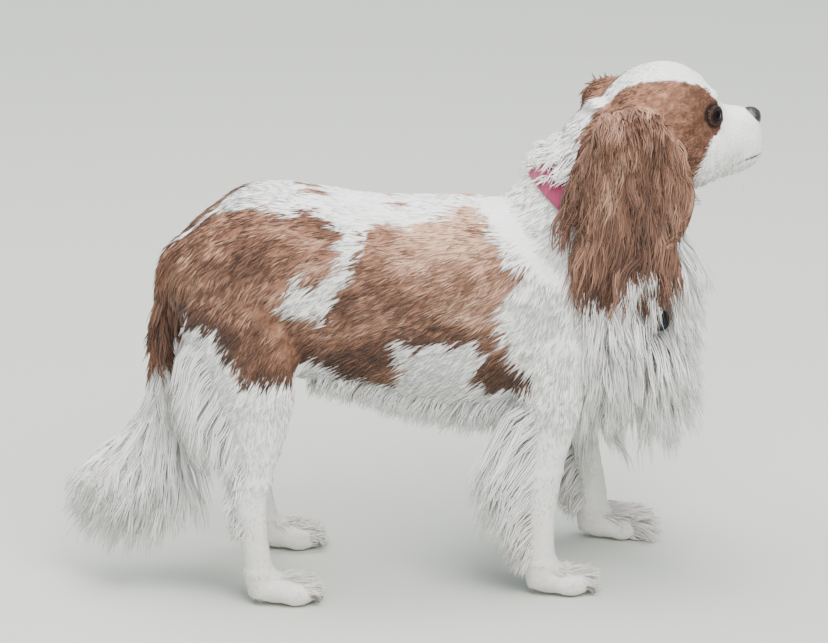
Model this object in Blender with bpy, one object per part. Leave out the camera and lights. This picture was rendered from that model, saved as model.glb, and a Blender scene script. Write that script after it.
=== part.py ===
"""A standing cavalier king charles spaniel, life size, as a still model.

Metres. +X is the way the dog faces, +Y is its left and +Z is up, with the floor at z = 0.
The flesh is modelled whole from tubes and rounded masses, fused and smoothed, and then parted
into head, neck, torso, legs and paws by thin cuts. Ears, tail, nose, eyes and collar are pieces
of their own that meet it face to face.
"""

import math
import random

import bmesh
import bpy
import numpy as np
from mathutils import Matrix, Vector
from mathutils.bvhtree import BVHTree

# Driving sizes, in metres and degrees
GAP = 0.0003
HAIR_GAP = 0.0010
WITHERS = 0.318
VOXEL = 0.0042
SMOOTH_STEPS = 6
BODY_TRIANGLES = 2800
HEAD_TRIANGLES = 6400
TAIL_TRIANGLES = 400
TAIL_VOXEL = 0.0022

# Head: its middle between the cheeks at eye height, and how it is turned
HEAD_PLACE = Vector((0.2032, 0.008, 0.3727))
HEAD_YAW = 8.0
HEAD_PITCH = -4.0
EYE_PLACE = Vector((0.0277, 0.0240, 0.0112))
EYE_RADIUS = 0.0100
EYE_OUT = Vector((0.64, 0.76, 0.12))
LID_ANGLES = (46.0, 35.0, 33.0)
LID_WIRE = 0.0014
LID_STEPS = 16
MOUTH_CENTRE = 0.040
MOUTH_HEIGHT = -0.0285
MOUTH_SAG = -0.0050
MOUTH_PEAK = 0.0060
MOUTH_PEAK_SPAN = 0.35
MOUTH_SWEEP = 84.0
MOUTH_STEPS = 18
MOUTH_DEPTH = 0.0022
MOUTH_WIRE = 0.0009
NOSTRIL = ((0.0062, 0.0042, -0.0004), (0.0032, 0.0019, 0.0016))
NOSE_PLACE = Vector((0.0695, 0.0, -0.0030))
NOSE_RADII = (0.0080, 0.0100, 0.0075)

# Where the flesh is parted: a point on the cut and the way it faces
HEAD_CUT = (Vector((0.164, 0.0, 0.360)), Vector((0.70, 0.0, 0.71)))
NECK_CUT = (Vector((0.1460, 0.0, 0.2800)), Vector((0.70, 0.0, 0.71)))
TAIL_CUT = (Vector((-0.1905, 0.0, 0.2600)), Vector((-1.0, 0.0, 0.0)))
TAIL_SPLIT = 0.1700
COLLAR_PLACE = Vector((0.1490, 0.0, 0.2960))
COLLAR_FACING = Vector((0.69, 0.0, 0.72))
COLLAR_WIDTH = 0.018
COLLAR_INNER = -0.0020
COLLAR_OUTER = 0.0020
COLLAR_ROUND = 0.0010
COLLAR_STEPS = 30
PAW_TOP = 0.026
SIDES = {"right": -1, "left": 1}

# The loop on the collar, the ring through it and the blank tag
TAG_SIDE = 0.45
TAG_REACH = 0.020
TAG_LEAN = 0.30
LOOP_RADIUS = 0.0052
LOOP_WIRE = 0.0011
RING_RADIUS = 0.0046
RING_WIRE = 0.0009
TAG_RADIUS = 0.0085
TAG_THICKNESS = 0.0016
TAG_HOLE = 0.0019
# The seed of every lock's own length and wave
SEED = 7

# The torso: x, top, bottom, half width
TORSO = [
    (-0.1970, 0.2780, 0.2450, 0.022),
    (-0.1910, 0.2880, 0.2280, 0.038),
    (-0.1810, 0.2990, 0.2080, 0.049),
    (-0.1650, 0.3140, 0.1900, 0.057),
    (-0.1350, 0.3330, 0.1800, 0.061),
    (-0.1050, 0.3370, 0.1750, 0.061),
    (-0.0700, 0.3320, 0.1680, 0.061),
    (-0.0350, 0.3250, 0.1600, 0.064),
    (0.0000, 0.3220, 0.1510, 0.068),
    (0.0350, 0.3210, 0.1450, 0.070),
    (0.0700, WITHERS, 0.1440, 0.068),
    (0.1050, 0.3100, 0.1460, 0.065),
    (0.1400, 0.2900, 0.1520, 0.058),
    (0.1650, 0.2650, 0.1630, 0.047),
    (0.1800, 0.2400, 0.1800, 0.030),
]
TORSO_WIDEST = 0.52

# Tubes: x, y, z, half width, half depth ahead or above, half depth behind or below
NECK = [
    (0.0950, 0.000, 0.2350, 0.060, 0.084, 0.078),
    (0.1180, 0.000, 0.2700, 0.056, 0.072, 0.068),
    (0.1370, 0.001, 0.3030, 0.051, 0.061, 0.058),
    (0.1560, 0.003, 0.3380, 0.047, 0.052, 0.050),
    (0.1700, 0.006, 0.3620, 0.044, 0.046, 0.046),
    (0.1800, 0.008, 0.3800, 0.040, 0.040, 0.040),
]
# The dense under-hair of the chest, half way out to the tips of its locks
CHEST_FRILL = [
    (0.1600, 0.004, 0.3300, 0.026, 0.020, 0.030),
    (0.1760, 0.003, 0.3020, 0.036, 0.032, 0.034),
    (0.1790, 0.002, 0.2680, 0.041, 0.036, 0.040),
    (0.1790, 0.001, 0.2300, 0.043, 0.033, 0.040),
    (0.1790, 0.000, 0.1900, 0.041, 0.032, 0.040),
    (0.1780, 0.000, 0.1620, 0.032, 0.032, 0.038),
    (0.1720, 0.000, 0.1420, 0.020, 0.024, 0.030),
]
# One leg of each pair, written for the right side
FORE_LEG = [
    (0.1080, -0.036, 0.2500, 0.018, 0.036, 0.036),
    (0.1060, -0.046, 0.2100, 0.022, 0.034, 0.036),
    (0.1050, -0.054, 0.1700, 0.021, 0.029, 0.030),
    (0.1040, -0.057, 0.1490, 0.020, 0.025, 0.024),
    (0.0985, -0.057, 0.1040, 0.0165, 0.0185, 0.0185),
    (0.0965, -0.057, 0.0700, 0.0150, 0.0155, 0.0155),
    (0.0960, -0.057, 0.0440, 0.0145, 0.0150, 0.0150),
    (0.0975, -0.057, 0.0200, 0.0150, 0.0160, 0.0150),
    (0.0990, -0.057, 0.0060, 0.0140, 0.0150, 0.0140),
]
HIND_LEG = [
    (-0.1420, -0.030, 0.2600, 0.030, 0.050, 0.050),
    (-0.1400, -0.036, 0.2270, 0.031, 0.050, 0.050),
    (-0.1360, -0.042, 0.1900, 0.028, 0.042, 0.042),
    (-0.1330, -0.048, 0.1650, 0.024, 0.036, 0.036),
    (-0.1305, -0.052, 0.1400, 0.020, 0.0265, 0.0265),
    (-0.1325, -0.056, 0.1070, 0.0150, 0.0165, 0.0165),
    (-0.1370, -0.057, 0.0900, 0.0140, 0.0165, 0.0175),
    (-0.1357, -0.058, 0.0730, 0.0135, 0.0150, 0.0155),
    (-0.1330, -0.058, 0.0500, 0.0135, 0.0135, 0.0140),
    (-0.1300, -0.058, 0.0250, 0.0140, 0.0150, 0.0140),
    (-0.1260, -0.058, 0.0060, 0.0135, 0.0150, 0.0140),
]
# The left foreleg steps forward and the left hind leg stands a little ahead
FORE_STEP = 0.056
STEP_EASE = 1.25
HIND_STEP = 0.010
FORE_PAW = Vector((0.1150, -0.057, 0.0))
HIND_PAW = Vector((-0.1080, -0.058, 0.0))
TOE_SPREAD = 0.0088

# The head's own frame: x towards the nose, from its middle. x, top, bottom, half width
SKULL = [
    (-0.0550, 0.0180, -0.0180, 0.018),
    (-0.0480, 0.0330, -0.0320, 0.032),
    (-0.0300, 0.0470, -0.0430, 0.042),
    (-0.0080, 0.0530, -0.0490, 0.0455),
    (0.0120, 0.0510, -0.0500, 0.0430),
    (0.0280, 0.0410, -0.0490, 0.0360),
    (0.0400, 0.0230, -0.0480, 0.0290),
    (0.0480, 0.0090, -0.0460, 0.0240),
]
MUZZLE = [
    (0.0300, 0.0140, -0.0490, 0.0280),
    (0.0430, 0.0115, -0.0485, 0.0255),
    (0.0560, 0.0080, -0.0465, 0.0235),
    (0.0660, 0.0055, -0.0430, 0.0210),
    (0.0735, -0.0015, -0.0370, 0.0170),
    (0.0775, -0.0100, -0.0270, 0.0100),
]
HEAD_WIDEST = 0.45
# Rounded masses on the head: middle, then radii, mirrored to the other side
HEAD_MASSES = {
    "cheek": ((0.0120, 0.0290, -0.0200), (0.032, 0.0180, 0.026)),
    "brow": ((0.0230, 0.0190, 0.0230), (0.017, 0.0140, 0.012)),
    "flank": ((0.0380, 0.0170, -0.0200), (0.026, 0.0140, 0.022)),
    "lip": ((0.0575, 0.0110, -0.0210), (0.0195, 0.0135, 0.0200)),
}
EAR_BASE = ((-0.0360, 0.0360, 0.0220), (0.024, 0.0120, 0.014))

# Where the ear leaves the head, in the head's frame, and the way that face looks
EAR_CUT = (Vector((-0.0360, 0.0430, 0.0270)), Vector((0.0, 0.90, 0.44)))
# The ear as it hangs from there: forward, outward, up, half length, half thickness
EAR = [
    (0.0000, 0.0000, 0.0000, 0.0190, 0.0040),
    (0.0000, 0.0070, 0.0020, 0.0240, 0.0040),
    (0.0000, 0.0125, -0.0020, 0.0290, 0.0042),
    (0.0000, 0.0150, -0.0110, 0.0340, 0.0055),
    (-0.0010, 0.0145, -0.0260, 0.0390, 0.0075),
    (-0.0020, 0.0130, -0.0470, 0.0440, 0.0080),
    (-0.0020, 0.0120, -0.0730, 0.0440, 0.0070),
    (0.0000, 0.0125, -0.0950, 0.0370, 0.0060),
    (0.0010, 0.0130, -0.1120, 0.0220, 0.0045),
]
# How far the ear's edges curl in towards the head, against its half length, and how far down it starts
EAR_CUP = 0.20
EAR_CURL_SPAN = 0.045
# How far out the ear folds over, and the corners of each of its sections
EAR_FOLD = 0.012
EAR_SIDES = 12
# The right ear lies back over the neck and the left one hangs further forward: sway, lift and breadth
EAR_HANG = {"right": (-0.0040, 0.0, 1.12), "left": (0.0140, -0.0140, 0.88)}

# The tail down to its split, then the end of its bone, and the dense hair under that
TAIL = [
    (-0.1650, 0.000, 0.2840, 0.020, 0.018, 0.024),
    (-0.1850, 0.000, 0.2770, 0.018, 0.015, 0.017),
    (-0.1980, 0.000, 0.2620, 0.014, 0.011, 0.011),
    (-0.2020, 0.000, 0.2400, 0.011, 0.008, 0.008),
    (-0.2025, 0.000, 0.2100, 0.010, 0.007, 0.008),
    (-0.2030, 0.000, 0.1850, 0.010, 0.007, 0.008),
    (-0.2040, 0.000, 0.1660, 0.010, 0.007, 0.008),
]
TAIL_END = [
    (-0.2030, 0.000, 0.1850, 0.0090, 0.0062, 0.0072),
    (-0.2070, 0.000, 0.1560, 0.0095, 0.0090, 0.0080),
    (-0.2190, 0.000, 0.1330, 0.0100, 0.0120, 0.0080),
    (-0.2380, 0.000, 0.1160, 0.0090, 0.0120, 0.0070),
    (-0.2540, 0.000, 0.1060, 0.0070, 0.0080, 0.0060),
]
TAIL_PLUME = [
    (-0.1840, 0.000, 0.1120, 0.0160, 0.0050),
    (-0.1930, 0.000, 0.1160, 0.0280, 0.0085),
    (-0.2050, 0.000, 0.1160, 0.0330, 0.0110),
    (-0.2200, 0.000, 0.1060, 0.0300, 0.0110),
    (-0.2380, 0.000, 0.0960, 0.0230, 0.0095),
    (-0.2520, 0.000, 0.0920, 0.0140, 0.0060),
]

# Locks: how deep the root is sunk, how thick they are at the root and at the tip, and the room that they
# keep from other skin, with what each further try adds to it
ROOT_DEPTH = 0.0045
LOCK_THICKNESS = 0.0026
TIP_THICKNESS = 0.0008
LOCK_CLEAR = 0.0012
LOCK_TRIES = 5
TRY_CLEAR = 0.0016
LOCK_MARGIN = 0.0006
LOCK_LOWEST = 0.003
# A lock's breadth at its root and what it gains by a third of its length, then what it loses to its tip
ROOT_BREADTH = 0.62
BREADTH_AT = 0.3
BREADTH_LOSS = 0.72
RIDGE_BELOW = 0.35
WAVE_TURN = 2.1
SPREAD = 0.2
# Angles in degrees and distances for flattening a fused node, tried in turn, and the sharpest fold allowed
FLAT_TRIES = ((2.2, 0.000002), (1.2, 0.000002), (2.2, 0.00001), (0.5, 0.000002), (0.1, 0.000002))
FOLD_LIMIT = -0.9995

DOWN = Vector((0, 0, -1))
# Each kind of lock: its width, how far it stands off at the root, how soon it turns down, how much it waves,
# in how many strides, and how its row bows forward in the middle and fans out at the ends
LOCKS = {
    "ear": {"width": 0.0230, "stand": 0.10, "droop": 0.22, "wave": 0.34, "steps": 4, "fan": (0.38, 0, 0)},
    "neck": {"width": 0.0240, "stand": 0.70, "droop": 0.20, "wave": 0.12, "bow": (0.016, 0, 0), "fan": (0, 0.30, 0)},
    "chest": {"width": 0.0240, "stand": 0.70, "droop": 0.20, "wave": 0.16, "bow": (0.016, 0, 0), "fan": (0, 0.30, 0)},
    "belly": {"width": 0.0300, "stand": 0.40, "droop": 0.30, "wave": 0.18},
    "fore_leg": {"width": 0.0190, "stand": 0.35, "droop": 0.24, "wave": 0.20},
    "hind_leg": {"width": 0.0200, "stand": 0.35, "droop": 0.30, "wave": 0.16},
    "paw": {"width": 0.0170, "stand": 0.02, "droop": 0.10, "wave": 0.10, "fan": (0, 0.22, 0)},
    "tail": {"width": 0.0170, "stand": 0.20, "droop": 0.30, "wave": 0.12},
    "plume": {"width": 0.0220, "stand": 0.16, "droop": 0.20, "wave": 0.22, "steps": 4},
    "plume_tip": {"width": 0.0190, "stand": 0.20, "droop": 0.22, "wave": 0.20},
}
# Down the ear: distance below its root, half spread, count, length
EAR_ROWS = [
    (0.012, 0.030, 3, 0.058),
    (0.034, 0.042, 4, 0.062),
    (0.060, 0.046, 5, 0.062),
    (0.084, 0.042, 4, 0.062),
    (0.104, 0.026, 3, 0.058),
]
EAR_ROW_OUT = 0.034
# Down the throat, then round the chest: x, height, half spread, count, length
NECK_ROWS = [
    (0.205, 0.318, 0.028, 4, 0.042),
    (0.210, 0.292, 0.034, 4, 0.048),
    (0.214, 0.264, 0.038, 5, 0.050),
]
CHEST_ROWS = [
    (0.212, 0.213, 0.042, 6, 0.052),
    (0.212, 0.190, 0.042, 5, 0.052),
    (0.210, 0.166, 0.034, 5, 0.048),
    (0.200, 0.148, 0.024, 3, 0.044),
]
CHEST_LIE = (0.35, 0, -1)
# Under the belly: distance from the middle, height at the elbows, count, length
BELLY_ROWS = [
    (0.014, 0.140, 4, 0.034),
    (0.036, 0.150, 4, 0.030),
]
BELLY_ENDS = (-0.064, 0.070)
BELLY_RISE = 0.020
BELLY_LIE = (-1.0, 0, -0.7)
# Behind the foreleg: height, count, length; the row lies across the back of the leg
FORE_LEG_ROWS = [
    (0.146, 2, 0.064),
    (0.120, 2, 0.060),
    (0.094, 2, 0.050),
    (0.068, 1, 0.038),
    (0.046, 1, 0.024),
]
FORE_LEG_BACK = 0.070
FORE_LEG_ACROSS = (0.070, 0.047)
FORE_LEG_LIE = (-0.75, 0, -0.95)
# Down the back of the thigh to the hock: x, height, count, length
HIND_LEG_ROWS = [
    (-0.195, 0.205, 3, 0.046),
    (-0.185, 0.175, 2, 0.044),
    (-0.172, 0.145, 2, 0.036),
    (-0.165, 0.112, 1, 0.024),
    (-0.165, 0.082, 1, 0.020),
]
HIND_LEG_ACROSS = (0.070, 0.032)
HIND_LEG_LIE = (-0.30, 0, -1)
# Over the toes: where the row lies from the paw's middle, its half spread and height, and its lengths
PAW_ROW = (0.010, 0.014, 0.018)
PAW_HAIR = {"hind": 0.020, "fore_right": 0.020, "fore_left": 0.034}
PAW_LIE = (1.0, 0, -0.12)
# Down the tail's side and its under side: x and height of the first and last root, count, length, way
TAIL_SIDE_ROW = ((-0.2015, 0.246), (-0.2030, 0.196), 4, 0.034, (0.05, -1.0))
TAIL_UNDER_ROW = ((-0.1900, 0.236), (-0.1930, 0.200), 2, 0.030, (0.25, -1.0))
TAIL_OUT = 0.012
# The same down the tail's end
PLUME_ROWS = [
    ((-0.198, 0.156), (-0.190, 0.122), 3, 0.066, (0.42, -1.0)),
    ((-0.206, 0.128), (-0.246, 0.100), 3, 0.064, (-0.25, -1.0)),
    ((-0.212, 0.148), (-0.250, 0.116), 3, 0.062, (-0.85, -0.6)),
]
PLUME_OUT = 0.013
PLUME_TIP_ROW = (((-0.2500, -0.004, 0.1010), (-0.2560, 0.004, 0.0920)), 2, 0.040, (-0.85, 0, -0.55))
# How far hair beside the middle is combed outwards
ASIDE = 0.10

COLOURS = {
    "coat_white": (0.90, 0.89, 0.90),
    "coat_chestnut": (0.42, 0.21, 0.12),
    "nose_leather": (0.03, 0.027, 0.03),
    "eye": (0.05, 0.02, 0.012),
    "collar_webbing": (0.55, 0.06, 0.16),
    "tag_metal": (0.20, 0.20, 0.21),
}


def clear_scene():
    for obj in list(bpy.data.objects):
        bpy.data.objects.remove(obj)


def material(name, roughness, metallic=0.0):
    made = bpy.data.materials.new(name)
    made.use_nodes = True
    shader = made.node_tree.nodes["Principled BSDF"]
    shader.inputs["Base Color"].default_value = (*COLOURS[name], 1.0)
    shader.inputs["Roughness"].default_value = roughness
    shader.inputs["Metallic"].default_value = metallic
    return made


def object_of(name, mesh):
    obj = bpy.data.objects.new(name, mesh)
    bpy.context.scene.collection.objects.link(obj)
    return obj


def interpolated(stations, per_span=3):
    """Stations along a smooth curve through the given ones."""
    rows = np.array(stations, float)
    padded = np.vstack([2 * rows[0] - rows[1], rows, 2 * rows[-1] - rows[-2]])
    made = []
    for i in range(1, len(padded) - 2):
        a, b, c, d = padded[i - 1 : i + 3]
        for step in range(per_span):
            t = step / per_span
            made.append(
                0.5 * (2 * b + (c - a) * t + (2 * a - 5 * b + 4 * c - d) * t**2 + (3 * b - a - 3 * c + d) * t**3)
            )
    made.append(padded[-2])
    return made


def egg(centre, across, upward, half_width, above, below, sides, squareness=2.0):
    """The points of one egg-shaped cross-section."""
    points = []
    for i in range(sides):
        angle = 2 * math.pi * i / sides
        c, s = math.cos(angle), math.sin(angle)
        wide = half_width * math.copysign(abs(c) ** (2 / squareness), c)
        high = (above if s > 0 else below) * math.copysign(abs(s) ** (2 / squareness), s)
        points.append(centre + across * wide + upward * high)
    return points


def loft(name, rings):
    """One closed body through rings of points, with a flat face at each end."""
    mesh = bmesh.new()
    rows = [[mesh.verts.new(p) for p in ring] for ring in rings]
    sides = len(rows[0])
    for low, high in zip(rows, rows[1:]):
        for i in range(sides):
            j = (i + 1) % sides
            mesh.faces.new((low[i], low[j], high[j], high[i]))
    mesh.faces.new(rows[0])
    mesh.faces.new(rows[-1])
    bmesh.ops.recalc_face_normals(mesh, faces=mesh.faces)
    data = bpy.data.meshes.new(name)
    mesh.to_mesh(data)
    mesh.free()
    return object_of(name, data)


def trunk(name, stations, widest, sides=28, squareness=2.2):
    """A body along x from stations of x, top, bottom and half width."""
    rings = []
    for x, top, bottom, half in interpolated(stations):
        middle = bottom + (top - bottom) * widest
        centre = Vector((x, 0, middle))
        rings.append(
            egg(centre, Vector((0, 1, 0)), Vector((0, 0, 1)), half, top - middle, middle - bottom, sides, squareness)
        )
    return loft(name, rings)


def tube(name, stations, sides=20, per_span=3):
    """A body along stations of x, y, z, half width, half depth ahead and half depth behind."""
    rows = interpolated(stations, per_span)
    places = [Vector(row[:3]) for row in rows]
    rings = []
    for i, row in enumerate(rows):
        along = (places[min(i + 1, len(rows) - 1)] - places[max(i - 1, 0)]).normalized()
        ahead = along.cross(Vector((0, 1, 0))).normalized()
        across = ahead.cross(along).normalized()
        rings.append(egg(places[i], across, ahead, *row[3:6], sides))
    return loft(name, rings)


def ellipsoid(name, centre, radii, rings=12):
    mesh = bmesh.new()
    bmesh.ops.create_uvsphere(mesh, u_segments=2 * rings, v_segments=rings, radius=1.0)
    bmesh.ops.scale(mesh, vec=radii, verts=mesh.verts)
    bmesh.ops.translate(mesh, vec=centre, verts=mesh.verts)
    data = bpy.data.meshes.new(name)
    mesh.to_mesh(data)
    mesh.free()
    return object_of(name, data)


def head_matrix():
    turn = Matrix.Rotation(math.radians(HEAD_YAW), 4, "Z") @ Matrix.Rotation(math.radians(HEAD_PITCH), 4, "Y")
    return Matrix.Translation(HEAD_PLACE) @ turn


def sided(point, side):
    """A point of the head's left side, on the side asked for: 1 is left and -1 is right."""
    return Vector((point[0], point[1] * side, point[2]))


def apply_modifiers(obj):
    graph = bpy.context.evaluated_depsgraph_get()
    graph.update()
    data = bpy.data.meshes.new_from_object(obj.evaluated_get(graph))
    obj.modifiers.clear()
    obj.data = data
    return obj


def drop(objects):
    for obj in objects:
        bpy.data.objects.remove(obj)


def joined(name, objects):
    """The objects' meshes in one mesh, in world space, still as separate shells."""
    mesh = bmesh.new()
    for obj in objects:
        before = set(mesh.verts)
        mesh.from_mesh(obj.data)
        fresh = [v for v in mesh.verts if v not in before]
        bmesh.ops.transform(mesh, matrix=obj.matrix_world, verts=fresh)
    data = bpy.data.meshes.new(name)
    mesh.to_mesh(data)
    mesh.free()
    drop(objects)
    return object_of(name, data)


def boolean(obj, other, operation, solver="EXACT"):
    cut = obj.modifiers.new("cut", "BOOLEAN")
    cut.operation = operation
    cut.solver = solver
    cut.object = other
    return apply_modifiers(obj)


def copy_of(obj, name):
    return object_of(name, obj.data.copy())


def keep_largest_shell(mesh):
    """Triangulates a mesh and removes all but its largest closed surface."""
    bmesh.ops.triangulate(mesh, faces=mesh.faces)
    left, shells = set(mesh.faces), []
    while left:
        seed = left.pop()
        shell, front = {seed}, [seed]
        while front:
            for edge in front.pop().edges:
                if len(edge.link_faces) != 2:
                    continue
                for face in edge.link_faces:
                    if face not in shell:
                        shell.add(face)
                        front.append(face)
        left -= shell
        shells.append(shell)
    keep = max(shells, key=len)
    bmesh.ops.delete(mesh, geom=[face for face in mesh.faces if face not in keep], context="FACES")


def largest_shell(obj):
    """Keeps only the largest closed surface."""
    mesh = bmesh.new()
    mesh.from_mesh(obj.data)
    keep_largest_shell(mesh)
    mesh.to_mesh(obj.data)
    mesh.free()
    return obj


def is_sound(mesh):
    """True where a mesh is closed, has no face folded back on its neighbour and doesn't cross itself."""
    mesh.normal_update()
    for edge in mesh.edges:
        if len(edge.link_faces) != 2:
            return False
        one, other = edge.link_faces
        if one.normal.dot(other.normal) < FOLD_LIMIT:
            return False
    corners = [{vert.index for vert in face.verts} for face in mesh.faces]
    tree = BVHTree.FromBMesh(mesh)
    return not any(a < b and not corners[a] & corners[b] for a, b in tree.overlap(tree))


def hull(name, corners):
    mesh = bmesh.new()
    for corner in corners:
        mesh.verts.new(corner)
    bmesh.ops.convex_hull(mesh, input=mesh.verts)
    bmesh.ops.recalc_face_normals(mesh, faces=mesh.faces)
    data = bpy.data.meshes.new(name)
    mesh.to_mesh(data)
    mesh.free()
    return object_of(name, data)


def half_space(name, point, facing, reach=0.6):
    """A block that fills the side of the plane that facing points to."""
    facing = facing.normalized()
    across = Vector((0, 1, 0))
    upward = facing.cross(across).normalized()
    corners = []
    for depth in (0, reach):
        for a in (-reach, reach):
            for b in (-reach, reach):
                corners.append(point + facing * depth + across * a + upward * b)
    return hull(name, corners)


def head_pieces():
    matrix = head_matrix()
    made = [
        trunk("skull", SKULL, HEAD_WIDEST, squareness=2.3),
        trunk("muzzle", MUZZLE, 0.5, squareness=2.6),
    ]
    for side in (1, -1):
        for name, (centre, radii) in HEAD_MASSES.items():
            made.append(ellipsoid(name, sided(centre, side), radii))
        made.append(ellipsoid("ear_base", sided(EAR_BASE[0], side), EAR_BASE[1]))
    for obj in made:
        obj.data.transform(matrix)
    return made


def paw_pieces(place, side, forward=0.0):
    """A paw of four toes and a pad, with its heel under the leg."""
    made = []
    middle = Vector((place.x + forward, place.y * -side, 0.0))
    made.append(ellipsoid("pad", middle + Vector((-0.008, 0, 0.0120)), (0.021, 0.0165, 0.0135)))
    for i in (-1.5, -0.5, 0.5, 1.5):
        ahead = 0.012 - 0.0035 * abs(i)
        toe = middle + Vector((ahead, i * TOE_SPREAD, 0.0095))
        made.append(ellipsoid("toe", toe, (0.0155, 0.0062, 0.0105)))
    return made


def flesh():
    """The whole flesh of the dog, its head, neck, torso, legs and paws, as one smooth mesh."""
    pieces = [
        trunk("trunk", TORSO, TORSO_WIDEST),
        tube("neck", NECK, sides=28),
        tube("frill", CHEST_FRILL, sides=24),
        tube("tail", TAIL),
    ]
    pieces += head_pieces()
    for side, fore_step, hind_step in ((-1, 0.0, 0.0), (1, FORE_STEP, HIND_STEP)):
        for stations, step, paw in ((FORE_LEG, fore_step, FORE_PAW), (HIND_LEG, hind_step, HIND_PAW)):
            leg = [tuple(row) for row in stations]
            top = leg[0][2]
            # The step grows from nothing at the top of the leg to its full length at the paw
            leg = [
                (x + step * min(1.0, STEP_EASE * (top - z) / top), y * -side, z, *sizes)
                for x, y, z, *sizes in leg
            ]
            pieces.append(tube("leg", leg))
            pieces += paw_pieces(paw, side, step)
    whole = joined("flesh", pieces)
    remesh = whole.modifiers.new("remesh", "REMESH")
    remesh.mode = "VOXEL"
    remesh.voxel_size = VOXEL
    apply_modifiers(whole)
    smooth = whole.modifiers.new("smooth", "SMOOTH")
    smooth.factor = 0.5
    smooth.iterations = SMOOTH_STEPS
    return apply_modifiers(whole)


def thinned(whole, name, triangles):
    """A copy of the flesh with about this many triangles."""
    made = copy_of(whole, name)
    thin = made.modifiers.new("thin", "DECIMATE")
    thin.ratio = triangles / (2 * len(made.data.polygons))
    apply_modifiers(made)
    return made


def grown(source, name, by):
    """A copy whose skin stands this much further out."""
    made = copy_of(source, name)
    for vert in made.data.vertices:
        vert.co += vert.normal * by
    return made


def leg_region(name, side, x_range, inner, outer, x_floor):
    """The space of one leg: a slanting top from the inner edge up to the outer one, down past the floor.

    inner and outer are (distance from the middle plane, height); x_floor is the x range at the floor.
    """
    corners = []
    for x, xf in zip(x_range, x_floor):
        for y, z in (inner, outer):
            corners.append(Vector((x, y * side, z)))
            corners.append(Vector((xf, y * side, -0.05)))
    return hull(name, corners)


def plane_matrix(point, facing):
    """Takes the half space of +X to the one past this plane."""
    return Matrix.Translation(point) @ facing.to_track_quat("X", "Z").to_matrix().to_4x4()


def ear_body(name, word):
    """One ear as it hangs: a folded flap with its hair, from the face on the head to its tip."""
    side = SIDES[word]
    root = head_matrix() @ sided(EAR_CUT[0], side)
    facing = (head_matrix().to_3x3() @ sided(EAR_CUT[1], side)).normalized()
    sway, lift, breadth = EAR_HANG[word]
    rows = interpolated(EAR, 2)
    places = []
    for forward, outward, up, *_ in rows:
        swung = min(1.0, outward / EAR_FOLD)
        places.append(root + Vector((forward + sway * swung, outward * side, up + lift * swung)))
    rings = []
    for i, row in enumerate(rows):
        along = (places[min(i + 1, len(rows) - 1)] - places[max(i - 1, 0)]).normalized()
        centre = places[i]
        if i == 0:
            along = facing
            centre = centre + facing * GAP
        fore = (Vector((1, 0, 0)) - along * along.x).normalized()
        outward = fore.cross(along).normalized()
        half = row[3] * breadth
        ring = egg(centre, fore, outward, half, row[4], row[4] * 0.5, EAR_SIDES)
        curl = min(1.0, max(0.0, -row[2]) / EAR_CURL_SPAN) * EAR_CUP * half
        ring = [point - outward * curl * ((point - centre).dot(fore) / half) ** 2 for point in ring]
        rings.append(ring)
    return loft(name, rings)


def plume_body(name):
    rings = []
    for x, y, z, half_height, half_width in interpolated(TAIL_PLUME):
        across, upward = Vector((0, 1, 0)), Vector((0, 0, 1))
        rings.append(egg(Vector((x, y, z)), across, upward, half_width, half_height, half_height, 16))
    return loft(name, rings)


def tree_of(objects):
    """One search tree over the objects' surfaces, for finding the nearest skin."""
    points, faces = [], []
    for obj in objects:
        base = len(points)
        points += [obj.matrix_world @ v.co for v in obj.data.vertices]
        faces += [tuple(base + i for i in polygon.vertices) for polygon in obj.data.polygons]
    return BVHTree.FromPolygons(points, faces)


def lid_ring(name, side):
    """The rim of both lids round one eye, as a ring that lies on the eyeball."""
    centre = sided(EYE_PLACE, side)
    out = sided(EYE_OUT, side).normalized()
    up = (Vector((0, 0, 1)) - out * out.z).normalized()
    fore = up.cross(out) * -side
    mesh = bmesh.new()
    rows = []
    for i in range(LID_STEPS):
        angle = 2 * math.pi * i / LID_STEPS
        c, s = math.cos(angle), math.sin(angle)
        open_angle = math.radians(LID_ANGLES[0] * c * c + (LID_ANGLES[1] if s > 0 else LID_ANGLES[2]) * s * s)
        way = (out * math.cos(open_angle) + (fore * c + up * s) * math.sin(open_angle)).normalized()
        away = (way - out * way.dot(out)).normalized()
        middle = centre + way * (EYE_RADIUS + LID_WIRE * 0.35)
        rows.append([
            mesh.verts.new(middle + LID_WIRE * (way * math.cos(a) + (away * math.cos(open_angle)
                           - out * math.sin(open_angle)) * math.sin(a) * 1.5))
            for a in (2 * math.pi * k / 6 for k in range(6))
        ])
    for i, row in enumerate(rows):
        after = rows[(i + 1) % len(rows)]
        for k in range(6):
            m = (k + 1) % 6
            mesh.faces.new((row[k], row[m], after[m], after[k]))
    bmesh.ops.recalc_face_normals(mesh, faces=mesh.faces)
    return finished(name, mesh)


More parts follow.
